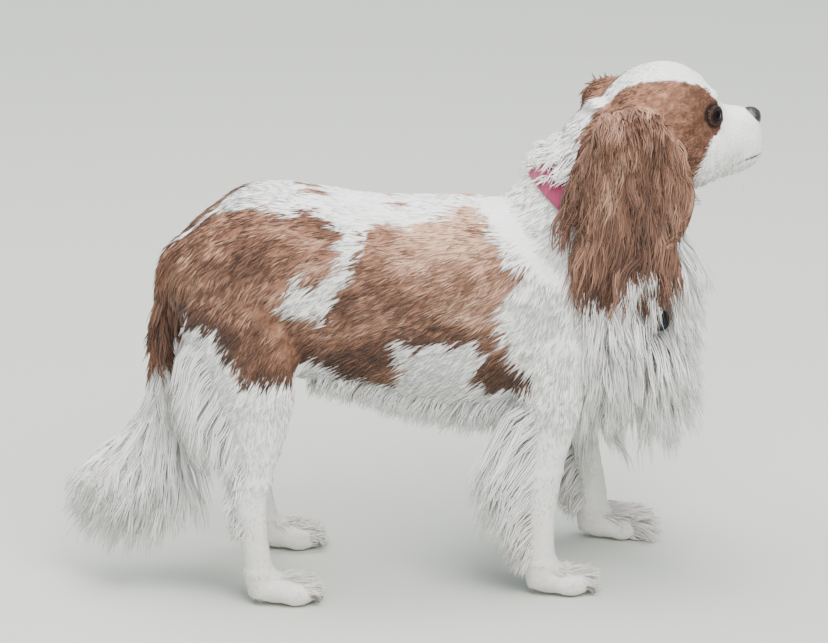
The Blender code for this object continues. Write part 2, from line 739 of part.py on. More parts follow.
def mouth_groove(name, tree):
    """A thin tube that follows the line between the lips, in world space."""
    matrix = head_matrix()
    centre = matrix @ Vector((MOUTH_CENTRE, 0, 0))
    points = []
    for i in range(MOUTH_STEPS + 1):
        turn = math.radians(MOUTH_SWEEP * (2 * i / MOUTH_STEPS - 1))
        sides = abs(turn) / math.radians(MOUTH_SWEEP)
        drop_here = MOUTH_HEIGHT + MOUTH_SAG * sides + MOUTH_PEAK * max(0.0, 1 - sides / MOUTH_PEAK_SPAN) ** 2
        way = matrix.to_3x3() @ Vector((math.cos(turn), math.sin(turn), 0))
        start = centre + matrix.to_3x3() @ Vector((0, 0, drop_here)) + way * 0.12
        points.append(tree.ray_cast(start, -way)[0])
    rings = []
    for i, point in enumerate(points):
        along = (points[min(i + 1, MOUTH_STEPS)] - points[max(i - 1, 0)]).normalized()
        up = Vector((0, 0, 1))
        out = along.cross(up).normalized()
        end = 0.4 if i in (0, MOUTH_STEPS) else 1.0
        rings.append(egg(point, out, up, MOUTH_DEPTH * end, MOUTH_WIRE * end, MOUTH_WIRE * end, 6))
    return loft(name, rings)


def collar_axes():
    facing = COLLAR_FACING.normalized()
    across = Vector((0, 1, 0))
    return facing, across, facing.cross(across).normalized()


def collar_ring(tree):
    """Round the neck, the skin under both edges and the middle of the collar, with the way out."""
    facing, across, upward = collar_axes()
    lines = []
    for offset in (-0.5, 0.0, 0.5):
        centre = COLLAR_PLACE + facing * COLLAR_WIDTH * offset
        line = []
        for i in range(COLLAR_STEPS):
            angle = 2 * math.pi * i / COLLAR_STEPS
            out = across * math.cos(angle) + upward * math.sin(angle)
            hit = tree.ray_cast(centre + out * 0.2, -out)[0]
            line.append(((hit - centre).length, out))
        lines.append(line)
    made = []
    for i in range(COLLAR_STEPS):
        radii = [sum(line[(i + k) % COLLAR_STEPS][0] for k in (-1, 0, 1)) / 3 for line in lines]
        made.append((radii, lines[0][i][1]))
    return made


def band(name, ring, grow, inner, outer):
    """A closed strap along a ring, from inner to outer distance of the skin."""
    facing, _, _ = collar_axes()
    mesh = bmesh.new()
    rows = []
    for (low, middle, high), out in ring:
        half = COLLAR_WIDTH / 2 + grow
        profile = ((-half, low + inner), (half, high + inner), (half, high + outer - COLLAR_ROUND),
                   (half * 0.8, high + outer), (0, middle + outer), (-half * 0.8, low + outer),
                   (-half, low + outer - COLLAR_ROUND))
        rows.append([mesh.verts.new(COLLAR_PLACE + facing * a + out * b) for a, b in profile])
    sides = len(rows[0])
    for k, row in enumerate(rows):
        after = rows[(k + 1) % len(rows)]
        for i in range(sides):
            j = (i + 1) % sides
            mesh.faces.new((row[i], row[j], after[j], after[i]))
    bmesh.ops.recalc_face_normals(mesh, faces=mesh.faces)
    return finished(name, mesh)


def torus(name, centre, facing, radius, wire, steps=18, sides=6):
    turn = facing.to_track_quat("Z", "X").to_matrix()
    mesh = bmesh.new()
    rows = []
    for i in range(steps):
        angle = 2 * math.pi * i / steps
        out = Vector((math.cos(angle), math.sin(angle), 0))
        row = []
        for k in range(sides):
            around = 2 * math.pi * k / sides
            point = out * (radius + wire * math.cos(around)) + Vector((0, 0, wire * math.sin(around)))
            row.append(mesh.verts.new(centre + turn @ point))
        rows.append(row)
    for i, row in enumerate(rows):
        after = rows[(i + 1) % steps]
        for k in range(sides):
            m = (k + 1) % sides
            mesh.faces.new((row[k], row[m], after[m], after[k]))
    bmesh.ops.recalc_face_normals(mesh, faces=mesh.faces)
    return finished(name, mesh)


def disc(name, centre, facing, radius, thickness, steps=22):
    turn = facing.to_track_quat("Z", "X").to_matrix().to_4x4()
    mesh = bmesh.new()
    bmesh.ops.create_cone(mesh, cap_ends=True, segments=steps, radius1=radius, radius2=radius, depth=thickness)
    bmesh.ops.transform(mesh, matrix=Matrix.Translation(centre) @ turn, verts=mesh.verts)
    return finished(name, mesh)


def finished(name, mesh):
    data = bpy.data.meshes.new(name)
    mesh.to_mesh(data)
    mesh.free()
    return object_of(name, data)


def collar_and_tag(nodes, looks, tree):
    """The collar lies in its own groove in the coat, with a loop, a ring and a blank tag."""
    ring = collar_ring(tree)
    groove = band("groove", ring, GAP, COLLAR_INNER - 3 * GAP, COLLAR_OUTER + 4 * GAP)
    boolean(nodes["neck"], groove, "DIFFERENCE")
    largest_shell(nodes["neck"])
    guard = band("guard", ring, HAIR_GAP, COLLAR_INNER, COLLAR_OUTER + HAIR_GAP)
    for word in SIDES:
        largest_shell(boolean(nodes[f"ear_{word}"], guard, "DIFFERENCE", "MANIFOLD"))
    drop([guard])
    collar = band("collar", ring, 0.0, COLLAR_INNER, COLLAR_OUTER)
    facing, _, _ = collar_axes()
    radii, out = min(ring, key=lambda row: abs(row[1].y + TAG_SIDE) + (0 if row[1].z < 0 else 9))
    down = Vector((0, 0, -1))
    edge = COLLAR_PLACE - facing * COLLAR_WIDTH / 2 + out * (radii[0] + COLLAR_OUTER)
    skin = tree.find_nearest(edge + down * TAG_REACH)[1]
    fall = (down - skin * down.dot(skin) + skin * TAG_LEAN).normalized()
    flat = (skin - fall * skin.dot(fall)).normalized()
    side_way = flat.cross(fall).normalized()
    loop_centre = edge + fall * LOOP_RADIUS * 0.6 + flat * LOOP_WIRE / 2
    loop = torus("loop", loop_centre, flat, LOOP_RADIUS, LOOP_WIRE)
    loop_room = torus("loop_room", loop_centre, flat, LOOP_RADIUS, LOOP_WIRE + 2 * GAP, sides=6)
    boolean(collar, loop, "UNION")
    ring_centre = loop_centre + fall * (LOOP_RADIUS + RING_RADIUS - LOOP_WIRE - RING_WIRE - 2 * GAP)
    tag_ring = torus("tag_ring", ring_centre, side_way, RING_RADIUS, RING_WIRE)
    ring_room = torus("ring_room", ring_centre, side_way, RING_RADIUS, RING_WIRE + 3 * GAP, sides=6)
    hole_centre = ring_centre + fall * RING_RADIUS
    tag_centre = hole_centre + fall * (TAG_RADIUS - TAG_HOLE * 2.2)
    tag = disc("tag", tag_centre, flat, TAG_RADIUS, TAG_THICKNESS)
    tag_room = disc("tag_room", tag_centre, flat, TAG_RADIUS + 2 * GAP, TAG_THICKNESS + 4 * GAP)
    for name in ("neck", "torso"):
        for room in (loop_room, ring_room, tag_room):
            boolean(nodes[name], room, "DIFFERENCE")
        largest_shell(nodes[name])
    drop([groove, loop, loop_room, ring_room, tag_room])
    hole = disc("hole", hole_centre, flat, TAG_HOLE, TAG_THICKNESS * 3, steps=12)
    boolean(tag, hole, "DIFFERENCE")
    drop([hole])
    for obj, look in ((collar, "collar"), (tag_ring, "tag"), (tag, "tag")):
        obj.data.materials.clear()
        obj.data.materials.append(looks[look])
        nodes[obj.name] = obj


def nearest(tree, point):
    """The nearest skin to a point, the way out there, and how far outside it the point is."""
    place, normal, _, _ = tree.find_nearest(point)
    return place, normal, (point - place).dot(normal)


def lock_path(root, out, lie, row, skin, clear, rng):
    """Points along one lock, from under the skin to its tip, which turn down and keep off the skin."""
    length = row["length"] * rng.uniform(0.86, 1.12)
    steps = row["steps"]
    stride = length / (steps - 0.5)
    points = [root - out * ROOT_DEPTH, root + out * clear * 0.5 + lie * stride * 0.5]
    way = (lie + out * row["stand"]).normalized()
    phase = rng.uniform(0, 2 * math.pi)
    for k in range(1, steps):
        way = (way * (1 - row["droop"]) + DOWN * row["droop"]).normalized()
        aside = way.cross(out).normalized()
        step = (way + aside * row["wave"] * math.sin(phase + WAVE_TURN * k)).normalized()
        point = points[-1] + step * stride
        place, normal, height = nearest(skin, point)
        if height < clear:
            point = place + normal * clear
        points.append(point)
    return points


def lock_mesh(points, outs, width, grow=0.0):
    """A flat, tapered lock with a ridge along its back, closed to a point at its tip."""
    last = len(points) - 1
    verts, faces = [], []
    out = outs[0]
    for i, point in enumerate(points[:-1]):
        t = i / last
        along = (points[i + 1] - points[max(i - 1, 0)]).normalized()
        out = (out - along * out.dot(along)).normalized()
        side = along.cross(out)
        breadth = ROOT_BREADTH + (1 - ROOT_BREADTH) * min(1.0, t / BREADTH_AT)
        half = width * 0.5 * breadth * (1 - BREADTH_LOSS * t**2) + grow
        high = LOCK_THICKNESS + (TIP_THICKNESS - LOCK_THICKNESS) * t + grow
        foot = point - out * high * RIDGE_BELOW
        verts += [foot + side * half, foot - side * half, point + out * high * (1 - RIDGE_BELOW)]
    verts.append(points[-1] + (points[-1] - points[-2]).normalized() * grow)
    for i in range(last - 1):
        for k in range(3):
            a, b = 3 * i + k, 3 * i + (k + 1) % 3
            faces += [(a, b, b + 3), (a, b + 3, a + 3)]
    tip = 3 * last
    faces += [(3 * (last - 1) + k, 3 * (last - 1) + (k + 1) % 3, tip) for k in range(3)]
    faces.append((2, 1, 0))
    return verts, faces


def row_of(kind, line, count, length, lie):
    """One row of locks of a kind: roots along a line, with their length and the way they lie there."""
    row = {"steps": 3, "bow": (0, 0, 0), "fan": (0, 0, 0), **LOCKS[kind]}
    row.update(line=tuple(Vector(p) for p in line), count=count, length=length, lie=Vector(lie))
    row["bow"], row["fan"] = Vector(row["bow"]), Vector(row["fan"])
    return row


def step_at(z, top, word, step):
    """How far ahead of its fellow the left leg of a pair is at a height below its top."""
    return step * min(1.0, STEP_EASE * (top - z) / top) if word == "left" else 0.0


def ear_rows(word):
    """Feathering down one ear, each row lower and shorter than the one above, fanning out at the edges."""
    side = SIDES[word]
    root = head_matrix() @ sided(EAR_CUT[0], side)
    sway, lift, breadth = EAR_HANG[word]
    rows = []
    for down, reach, count, length in EAR_ROWS:
        middle = root + Vector((sway, EAR_ROW_OUT * side, lift - down))
        half = Vector((reach * breadth, 0, 0))
        rows.append(row_of("ear", (middle - half, middle + half), count, length, (0, ASIDE * side, -1)))
    return rows


def ruff_rows(kind, table):
    """The ruff: locks round the front of the neck or chest, hanging forward and down from the throat."""
    return [row_of(kind, ((x, -half, z), (x, half, z)), count, length, CHEST_LIE)
            for x, z, half, count, length in table]


def belly_rows():
    """A short fringe under the belly, longer towards the elbows."""
    rows = []
    back, front = BELLY_ENDS
    for side in SIDES.values():
        for y, z, count, length in BELLY_ROWS:
            line = ((back, y * side, z + BELLY_RISE), (front, y * side, z))
            rows.append(row_of("belly", line, count, length, BELLY_LIE))
    return rows


def fore_leg_rows(word):
    """Feathers behind one foreleg, long at the elbow and shorter towards the pastern."""
    side = SIDES[word]
    rows = []
    for z, count, length in FORE_LEG_ROWS:
        x = FORE_LEG_BACK + step_at(z, FORE_LEG[0][2], word, FORE_STEP)
        line = [(x, y * side, z) for y in FORE_LEG_ACROSS]
        rows.append(row_of("fore_leg", line, count, length, FORE_LEG_LIE))
    return rows


def hind_leg_rows(word):
    """Breeches down the back of one thigh, and the short feathers over its hock."""
    side = SIDES[word]
    rows = []
    for x, z, count, length in HIND_LEG_ROWS:
        x += step_at(z, HIND_LEG[0][2], word, HIND_STEP)
        line = [(x, y * side, z) for y in HIND_LEG_ACROSS]
        rows.append(row_of("hind_leg", line, count, length, HIND_LEG_LIE))
    return rows


def paw_rows(place, word, step, length):
    """The slipper of long hair over the toes."""
    ahead, half, z = PAW_ROW
    x, y = place.x + step + ahead, place.y * -SIDES[word]
    return [row_of("paw", ((x, y - half, z), (x, y + half, z)), 3, length, PAW_LIE)]


def tail_rows():
    """Hair down both sides of the tail above its split, and under it."""
    rows = []
    start, end, count, length, lie = TAIL_SIDE_ROW
    for side in SIDES.values():
        line = [(x, TAIL_OUT * side, z) for x, z in (start, end)]
        rows.append(row_of("tail", line, count, length, (lie[0], ASIDE * side, lie[1])))
    start, end, count, length, lie = TAIL_UNDER_ROW
    rows.append(row_of("tail", [(x, 0, z) for x, z in (start, end)], count, length, (lie[0], 0, lie[1])))
    return rows


def plume_rows():
    """The plume: long locks that fan out of the tail's end and hang from both its sides."""
    rows = []
    for side in SIDES.values():
        for start, end, count, length, lie in PLUME_ROWS:
            line = [(x, PLUME_OUT * side, z) for x, z in (start, end)]
            rows.append(row_of("plume", line, count, length, (lie[0], ASIDE * side, lie[1])))
    rows.append(row_of("plume_tip", *PLUME_TIP_ROW))
    return rows


def grow_locks(nodes, name, rows, skin, rng):
    """Roots rows of locks in a node, bends them clear of the others and fuses them into it."""
    node = nodes[name]
    own = tree_of([node])
    others = [tree_of([obj]) for other, obj in nodes.items() if other != name]
    made = []
    for row in rows:
        start, end = row["line"]
        for i in range(row["count"]):
            t = (i + 0.5 + rng.uniform(-SPREAD, SPREAD)) / row["count"]
            guess = start.lerp(end, t) + row["bow"] * (1 - (2 * t - 1) ** 2)
            root, out, _ = nearest(own, guess)
            lie = row["lie"] + row["fan"] * (2 * t - 1)
            lie = (lie - out * lie.dot(out)).normalized()
            state = rng.getstate()
            for attempt in range(LOCK_TRIES):
                rng.setstate(state)
                clear = LOCK_CLEAR + TRY_CLEAR * attempt
                points = lock_path(root, out, lie, row, skin, clear, rng)
                if min(point.z for point in points) < LOCK_LOWEST:
                    break
                outs = [nearest(skin, point)[1] for point in points]
                outs[0] = outs[1]
                fat, faces = lock_mesh(points, outs, row["width"], LOCK_MARGIN)
                fat_tree = BVHTree.FromPolygons(fat, faces)
                if any(fat_tree.overlap(other) for other in others):
                    continue
                verts, faces = lock_mesh(points, outs, row["width"])
                mesh = bpy.data.meshes.new("lock")
                mesh.from_pydata(verts, [], faces)
                made.append(object_of("lock", mesh))
                break
    fuse(node, made)


def fuse(node, pieces):
    """Joins closed pieces to a node with one union, and keeps its largest closed surface."""
    group = bpy.data.collections.new("pieces")
    bpy.context.scene.collection.children.link(group)
    for piece in pieces:
        bm = bmesh.new()
        bm.from_mesh(piece.data)
        bmesh.ops.recalc_face_normals(bm, faces=bm.faces)
        bm.to_mesh(piece.data)
        bm.free()
        bpy.context.scene.collection.objects.unlink(piece)
        group.objects.link(piece)
    union = node.modifiers.new("union", "BOOLEAN")
    union.operation = "UNION"
    union.operand_type = "COLLECTION"
    union.collection = group
    apply_modifiers(node)
    drop(pieces)
    bpy.data.collections.remove(group)
    mesh = bmesh.new()
    mesh.from_mesh(node.data)
    for angle, weld in FLAT_TRIES:
        trial = mesh.copy()
        bmesh.ops.remove_doubles(trial, verts=trial.verts, dist=weld)
        bmesh.ops.dissolve_degenerate(trial, edges=trial.edges, dist=weld)
        bmesh.ops.dissolve_limit(trial, angle_limit=math.radians(angle), verts=trial.verts, edges=trial.edges)
        keep_largest_shell(trial)
        trial.verts.index_update()
        trial.faces.index_update()
        sound = is_sound(trial)
        if sound:
            trial.to_mesh(node.data)
        trial.free()
        if sound:
            break
    mesh.free()
    largest_shell(node)


def leg_regions():
    """Each leg's space, and the same grown by the gap, for cutting the legs and clearing the torso."""
    made = []
    for word, side in SIDES.items():
        fore_step = FORE_STEP if word == "left" else 0.0
        hind_step = HIND_STEP if word == "left" else 0.0
        for name, xs, inner, outer, floor_xs in (
            (f"fore_leg_{word}", (0.060, 0.150 + fore_step * 0.4), (0.020, 0.140), (0.12, 0.225),
             (0.060, 0.170 + fore_step)),
            (f"hind_leg_{word}", (-0.215, -0.083), (0.006, 0.176), (0.12, 0.285),
             (-0.190, -0.040 + hind_step)),
        ):
            space = leg_region(name + "_space", side, xs, inner, outer, floor_xs)
            clear = leg_region(
                name + "_clear", side, (xs[0] - GAP, xs[1] + GAP), (inner[0] - GAP, inner[1] + GAP),
                (outer[0] + GAP, outer[1] + GAP), (floor_xs[0] - GAP, floor_xs[1] + GAP)
            )
            made.append((name, space, clear))
    return made


def main():
    clear_scene()
    looks = {
        "white": material("coat_white", 0.75),
        "chestnut": material("coat_chestnut", 0.7),
        "nose": material("nose_leather", 0.45),
        "eye": material("eye", 0.12),
        "collar": material("collar_webbing", 0.7),
        "tag": material("tag_metal", 0.35, 0.9),
    }
    whole = flesh()
    body = thinned(whole, "body", BODY_TRIANGLES)
    head_body = thinned(whole, "head_body", HEAD_TRIANGLES)
    wide = grown(whole, "wide", HAIR_GAP)
    room_body = thinned(wide, "room_body", HEAD_TRIANGLES)
    nodes = {}

    def cut_out(name, source, look, keep=(), clear=()):
        made = copy_of(source, name)
        for region in keep:
            boolean(made, region, "INTERSECT")
        for region in clear:
            boolean(made, region, "DIFFERENCE")
        made.data.materials.clear()
        made.data.materials.append(looks[look])
        nodes[name] = largest_shell(made)
        return made

    def add(obj, look):
        obj.data.materials.clear()
        obj.data.materials.append(looks[look])
        nodes[obj.name] = obj

    above_head_cut = half_space("above_head", HEAD_CUT[0] + HEAD_CUT[1].normalized() * GAP / 2, HEAD_CUT[1])
    below_head_cut = half_space("below_head", HEAD_CUT[0] - HEAD_CUT[1].normalized() * GAP / 2, -HEAD_CUT[1])
    above_neck_cut = half_space("above_neck", NECK_CUT[0] + NECK_CUT[1].normalized() * GAP / 2, NECK_CUT[1])
    below_neck_cut = half_space("below_neck", NECK_CUT[0] - NECK_CUT[1].normalized() * GAP / 2, -NECK_CUT[1])
    tail_side = half_space("tail_side", TAIL_CUT[0] - TAIL_CUT[1] * GAP / 2, TAIL_CUT[1], reach=0.2)
    behind_rump = half_space("behind_rump", TAIL_CUT[0] + TAIL_CUT[1] * GAP / 2, TAIL_CUT[1], reach=0.2)
    above_split = half_space("above_split", Vector((-0.2, 0, TAIL_SPLIT + GAP / 2)), Vector((0, 0, 1)), reach=0.2)
    below_split = half_space("below_split", Vector((-0.2, 0, TAIL_SPLIT - GAP / 2)), Vector((0, 0, -1)), reach=0.2)
    floor = half_space("floor", Vector((0, 0, 0)), Vector((0, 0, -1)))
    below_paw_cut = half_space("below_paw", Vector((0, 0, PAW_TOP - GAP / 2)), Vector((0, 0, -1)))
    above_paw_cut = half_space("above_paw", Vector((0, 0, PAW_TOP + GAP / 2)), Vector((0, 0, 1)))
    regions = leg_regions()
    cut_out("head", head_body, "chestnut", [above_head_cut])
    cut_out("neck", body, "white", [below_head_cut, above_neck_cut])
    cut_out("torso", body, "white", [below_neck_cut], [*(clear for _, _, clear in regions), tail_side])
    cut_out("tail_upper", body, "white", [behind_rump, above_split])
    for name, region, _ in regions:
        cut_out(name, body, "white", [region, above_paw_cut])
        cut_out(name.replace("leg", "paw"), body, "white", [region, below_paw_cut], [floor])
    matrix = head_matrix()
    for word, side in SIDES.items():
        eye = ellipsoid(f"eye_{word}", matrix @ sided(EYE_PLACE, side), (EYE_RADIUS,) * 3, rings=8)
        add(eye, "eye")
        socket = ellipsoid("socket", matrix @ sided(EYE_PLACE, side), (EYE_RADIUS + GAP,) * 3, rings=8)
        lids = lid_ring("lids", side)
        lids.data.transform(matrix)
        fuse(nodes["head"], [lids])
        boolean(nodes["head"], socket, "DIFFERENCE")
        ear_side = half_space("ear_side", Vector(), Vector((1, 0, 0)), reach=0.1)
        ear_side.data.transform(matrix @ plane_matrix(sided(EAR_CUT[0], side), sided(EAR_CUT[1], side)))
        boolean(nodes["head"], ear_side, "DIFFERENCE")
        outward = (matrix.to_3x3() @ sided(EAR_CUT[1], side)).normalized()
        ear_side.data.transform(Matrix.Translation(outward * HAIR_GAP))
        room = copy_of(room_body, "room")
        boolean(room, ear_side, "DIFFERENCE", "MANIFOLD")
        ear = ear_body(f"ear_{word}", word)
        boolean(ear, room, "DIFFERENCE", "MANIFOLD")
        add(largest_shell(ear), "chestnut")
        drop([socket, ear_side, room])
    groove = mouth_groove("groove", tree_of([head_body]))
    boolean(nodes["head"], groove, "DIFFERENCE")
    drop([groove])
    nose = ellipsoid("nose", matrix @ NOSE_PLACE, NOSE_RADII, rings=6)
    for side in SIDES.values():
        place, radii = NOSTRIL
        nostril = ellipsoid("nostril", matrix @ (NOSE_PLACE + sided(place, side)), radii, rings=4)
        boolean(nose, nostril, "DIFFERENCE")
        drop([nostril])
    add(nose, "nose")
    seat = ellipsoid("seat", matrix @ NOSE_PLACE, [radius + GAP for radius in NOSE_RADII], rings=8)
    boolean(nodes["head"], seat, "DIFFERENCE")
    drop([seat])
    collar_and_tag(nodes, looks, tree_of([body]))
    tail_bone = tube("tail_bone", TAIL_END)
    plume = plume_body("plume")
    boolean(tail_bone, plume, "UNION")
    remesh = tail_bone.modifiers.new("remesh", "REMESH")
    remesh.mode = "VOXEL"
    remesh.voxel_size = TAIL_VOXEL
    apply_modifiers(tail_bone)
    tail_end = thinned(tail_bone, "tail_lower", TAIL_TRIANGLES)
    boolean(tail_end, below_split, "INTERSECT")
    add(largest_shell(tail_end), "white")
    hair(nodes, body)
    drop([above_head_cut, below_head_cut, above_neck_cut, below_neck_cut, tail_side, behind_rump, floor])
    drop([below_paw_cut, above_paw_cut, above_split, below_split, plume, tail_bone])
    for _, region, clear in regions:
        drop([region, clear])
    drop([whole, body, head_body, wide, room_body])
    settle(nodes)


def hair(nodes, body):
    """All the locks, node by node, so that each keeps off what is already there."""
    rng = random.Random(SEED)
    flesh_skin = tree_of([body, nodes["collar"], nodes["tag"]])
    for word in SIDES:
        ear_skin = tree_of([body, nodes[f"ear_{word}"]])
        grow_locks(nodes, f"ear_{word}", ear_rows(word), ear_skin, rng)
    grow_locks(nodes, "neck", ruff_rows("neck", NECK_ROWS), flesh_skin, rng)
    grow_locks(nodes, "torso", ruff_rows("chest", CHEST_ROWS) + belly_rows(), flesh_skin, rng)
    tail_skin = tree_of([body, nodes["tail_upper"], nodes["tail_lower"]])
    grow_locks(nodes, "tail_upper", tail_rows(), tail_skin, rng)
    grow_locks(nodes, "tail_lower", plume_rows(), tail_skin, rng)
    for word in SIDES:
        grow_locks(nodes, f"fore_leg_{word}", fore_leg_rows(word), flesh_skin, rng)
        grow_locks(nodes, f"hind_leg_{word}", hind_leg_rows(word), flesh_skin, rng)
        for kind, place, step in (("fore", FORE_PAW, FORE_STEP), ("hind", HIND_PAW, HIND_STEP)):
            forward = step if word == "left" else 0.0
            length = PAW_HAIR["hind" if kind == "hind" else f"fore_{word}"]
            grow_locks(nodes, f"{kind}_paw_{word}", paw_rows(place, word, forward, length), flesh_skin, rng)


def settle(nodes):
    """Moves the dog so that the origin is under the middle of its box, and shades it smooth."""
    bpy.context.view_layer.update()
    corners = np.array([v.co for obj in nodes.values() for v in obj.data.vertices])
    low, high = corners.min(axis=0), corners.max(axis=0)
    shift = Vector((-(low[0] + high[0]) / 2, -(low[1] + high[1]) / 2, 0.0))
    for obj in nodes.values():
        obj.location = shift
        obj.data.shade_smooth()
        obj.data.set_sharp_from_angle(angle=math.radians(40))


main()
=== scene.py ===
import math

import bmesh
import bpy
import numpy as np
from mathutils import Matrix, Vector, kdtree
from mathutils.bvhtree import BVHTree


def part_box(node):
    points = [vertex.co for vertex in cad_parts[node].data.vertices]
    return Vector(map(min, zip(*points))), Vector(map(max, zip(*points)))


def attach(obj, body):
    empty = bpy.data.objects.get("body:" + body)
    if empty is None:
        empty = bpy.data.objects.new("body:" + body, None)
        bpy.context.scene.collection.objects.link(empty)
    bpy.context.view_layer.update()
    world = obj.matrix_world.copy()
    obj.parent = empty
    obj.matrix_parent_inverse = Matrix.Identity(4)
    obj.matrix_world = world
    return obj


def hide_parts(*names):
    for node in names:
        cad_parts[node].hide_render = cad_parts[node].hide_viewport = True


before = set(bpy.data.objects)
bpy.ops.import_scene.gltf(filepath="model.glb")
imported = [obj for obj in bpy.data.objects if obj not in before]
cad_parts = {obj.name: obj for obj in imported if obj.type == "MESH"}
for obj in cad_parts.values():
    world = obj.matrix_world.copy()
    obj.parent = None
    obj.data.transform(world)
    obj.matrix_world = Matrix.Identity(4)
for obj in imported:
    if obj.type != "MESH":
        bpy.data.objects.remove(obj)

# Driving sizes, in metres and degrees
GAP = 0.0003
WITHERS = 0.318
VOXEL = 0.0026
SMOOTH_STEPS = 14
# Head: its middle between the cheeks at eye height, and how it is turned
HEAD_PLACE = Vector((0.2032, 0.008, 0.3727))
HEAD_YAW = 8.0
HEAD_PITCH = -4.0
EYE_PLACE = Vector((0.0277, 0.0240, 0.0112))
EYE_RADIUS = 0.0100
EYE_OUT = Vector((0.64, 0.76, 0.12))
MOUTH_CENTRE = 0.040
MOUTH_HEIGHT = -0.0285
MOUTH_SAG = -0.0050
MOUTH_PEAK = 0.0060
MOUTH_PEAK_SPAN = 0.35
MOUTH_SWEEP = 84.0
MOUTH_STEPS = 24
NOSE_PLACE = Vector((0.0695, 0.0, -0.0030))
NOSE_RADII = (0.0080, 0.0100, 0.0075)
SIDES = {"right": -1, "left": 1}
# The torso: x, top, bottom, half width
TORSO = [
    (-0.1970, 0.2780, 0.2450, 0.022),
    (-0.1910, 0.2880, 0.2280, 0.038),
    (-0.1810, 0.2990, 0.2080, 0.049),
    (-0.1650, 0.3140, 0.1900, 0.057),
    (-0.1350, 0.3330, 0.1800, 0.061),
    (-0.1050, 0.3370, 0.1750, 0.061),
    (-0.0700, 0.3320, 0.1680, 0.061),
    (-0.0350, 0.3250, 0.1600, 0.064),
    (0.0000, 0.3220, 0.1510, 0.068),
    (0.0350, 0.3210, 0.1450, 0.070),
    (0.0700, WITHERS, 0.1440, 0.068),
    (0.1050, 0.3100, 0.1460, 0.065),
    (0.1400, 0.2900, 0.1520, 0.058),
    (0.1650, 0.2650, 0.1630, 0.047),
    (0.1800, 0.2400, 0.1800, 0.030),
]
TORSO_WIDEST = 0.52
# Tubes: x, y, z, half width, half depth ahead or above, half depth behind or below
NECK = [
    (0.0950, 0.000, 0.2350, 0.060, 0.084, 0.078),
    (0.1180, 0.000, 0.2700, 0.056, 0.072, 0.068),
    (0.1370, 0.001, 0.3030, 0.051, 0.061, 0.058),
    (0.1560, 0.003, 0.3380, 0.047, 0.052, 0.050),
    (0.1700, 0.006, 0.3620, 0.044, 0.046, 0.046),
    (0.1800, 0.008, 0.3800, 0.040, 0.040, 0.040),
]
# The dense under-hair of the chest, half way out to the tips of its locks
CHEST_FRILL = [
    (0.1600, 0.004, 0.3300, 0.026, 0.020, 0.030),
    (0.1760, 0.003, 0.3020, 0.036, 0.032, 0.034),
    (0.1790, 0.002, 0.2680, 0.041, 0.036, 0.040),
    (0.1790, 0.001, 0.2300, 0.043, 0.033, 0.040),
    (0.1790, 0.000, 0.1900, 0.041, 0.032, 0.040),
    (0.1780, 0.000, 0.1620, 0.032, 0.032, 0.038),
    (0.1720, 0.000, 0.1420, 0.020, 0.024, 0.030),
]
# One leg of each pair, written for the right side
FORE_LEG = [
    (0.1080, -0.036, 0.2500, 0.018, 0.036, 0.036),
    (0.1060, -0.046, 0.2100, 0.022, 0.034, 0.036),
    (0.1050, -0.054, 0.1700, 0.021, 0.029, 0.030),
    (0.1040, -0.057, 0.1490, 0.020, 0.025, 0.024),
    (0.0985, -0.057, 0.1040, 0.0165, 0.0185, 0.0185),
    (0.0965, -0.057, 0.0700, 0.0150, 0.0155, 0.0155),
    (0.0960, -0.057, 0.0440, 0.0145, 0.0150, 0.0150),
    (0.0975, -0.057, 0.0200, 0.0150, 0.0160, 0.0150),
    (0.0990, -0.057, 0.0060, 0.0140, 0.0150, 0.0140),
]
HIND_LEG = [
    (-0.1420, -0.030, 0.2600, 0.030, 0.050, 0.050),
    (-0.1400, -0.036, 0.2270, 0.031, 0.050, 0.050),
    (-0.1360, -0.042, 0.1900, 0.028, 0.042, 0.042),
    (-0.1330, -0.048, 0.1650, 0.024, 0.036, 0.036),
    (-0.1305, -0.052, 0.1400, 0.020, 0.0265, 0.0265),
    (-0.1325, -0.056, 0.1070, 0.0150, 0.0165, 0.0165),
    (-0.1370, -0.057, 0.0900, 0.0140, 0.0165, 0.0175),
    (-0.1357, -0.058, 0.0730, 0.0135, 0.0150, 0.0155),
    (-0.1330, -0.058, 0.0500, 0.0135, 0.0135, 0.0140),
    (-0.1300, -0.058, 0.0250, 0.0140, 0.0150, 0.0140),
    (-0.1260, -0.058, 0.0060, 0.0135, 0.0150, 0.0140),
]
# The left foreleg steps forward and the left hind leg stands a little ahead
FORE_STEP = 0.056
STEP_EASE = 1.25
HIND_STEP = 0.010
FORE_PAW = Vector((0.1150, -0.057, 0.0))
HIND_PAW = Vector((-0.1080, -0.058, 0.0))
TOE_SPREAD = 0.0088
# The head's own frame: x towards the nose, from its middle. x, top, bottom, half width
SKULL = [
    (-0.0550, 0.0180, -0.0180, 0.018),
    (-0.0480, 0.0330, -0.0320, 0.032),
    (-0.0300, 0.0470, -0.0430, 0.042),
    (-0.0080, 0.0530, -0.0490, 0.0455),
    (0.0120, 0.0510, -0.0500, 0.0430),
    (0.0280, 0.0410, -0.0490, 0.0360),
    (0.0400, 0.0230, -0.0480, 0.0290),
    (0.0480, 0.0090, -0.0460, 0.0240),
]
MUZZLE = [
    (0.0300, 0.0140, -0.0490, 0.0280),
    (0.0430, 0.0115, -0.0485, 0.0255),
    (0.0560, 0.0080, -0.0465, 0.0235),
    (0.0660, 0.0055, -0.0430, 0.0210),
    (0.0735, -0.0015, -0.0370, 0.0170),
    (0.0775, -0.0100, -0.0270, 0.0100),
]
HEAD_WIDEST = 0.45
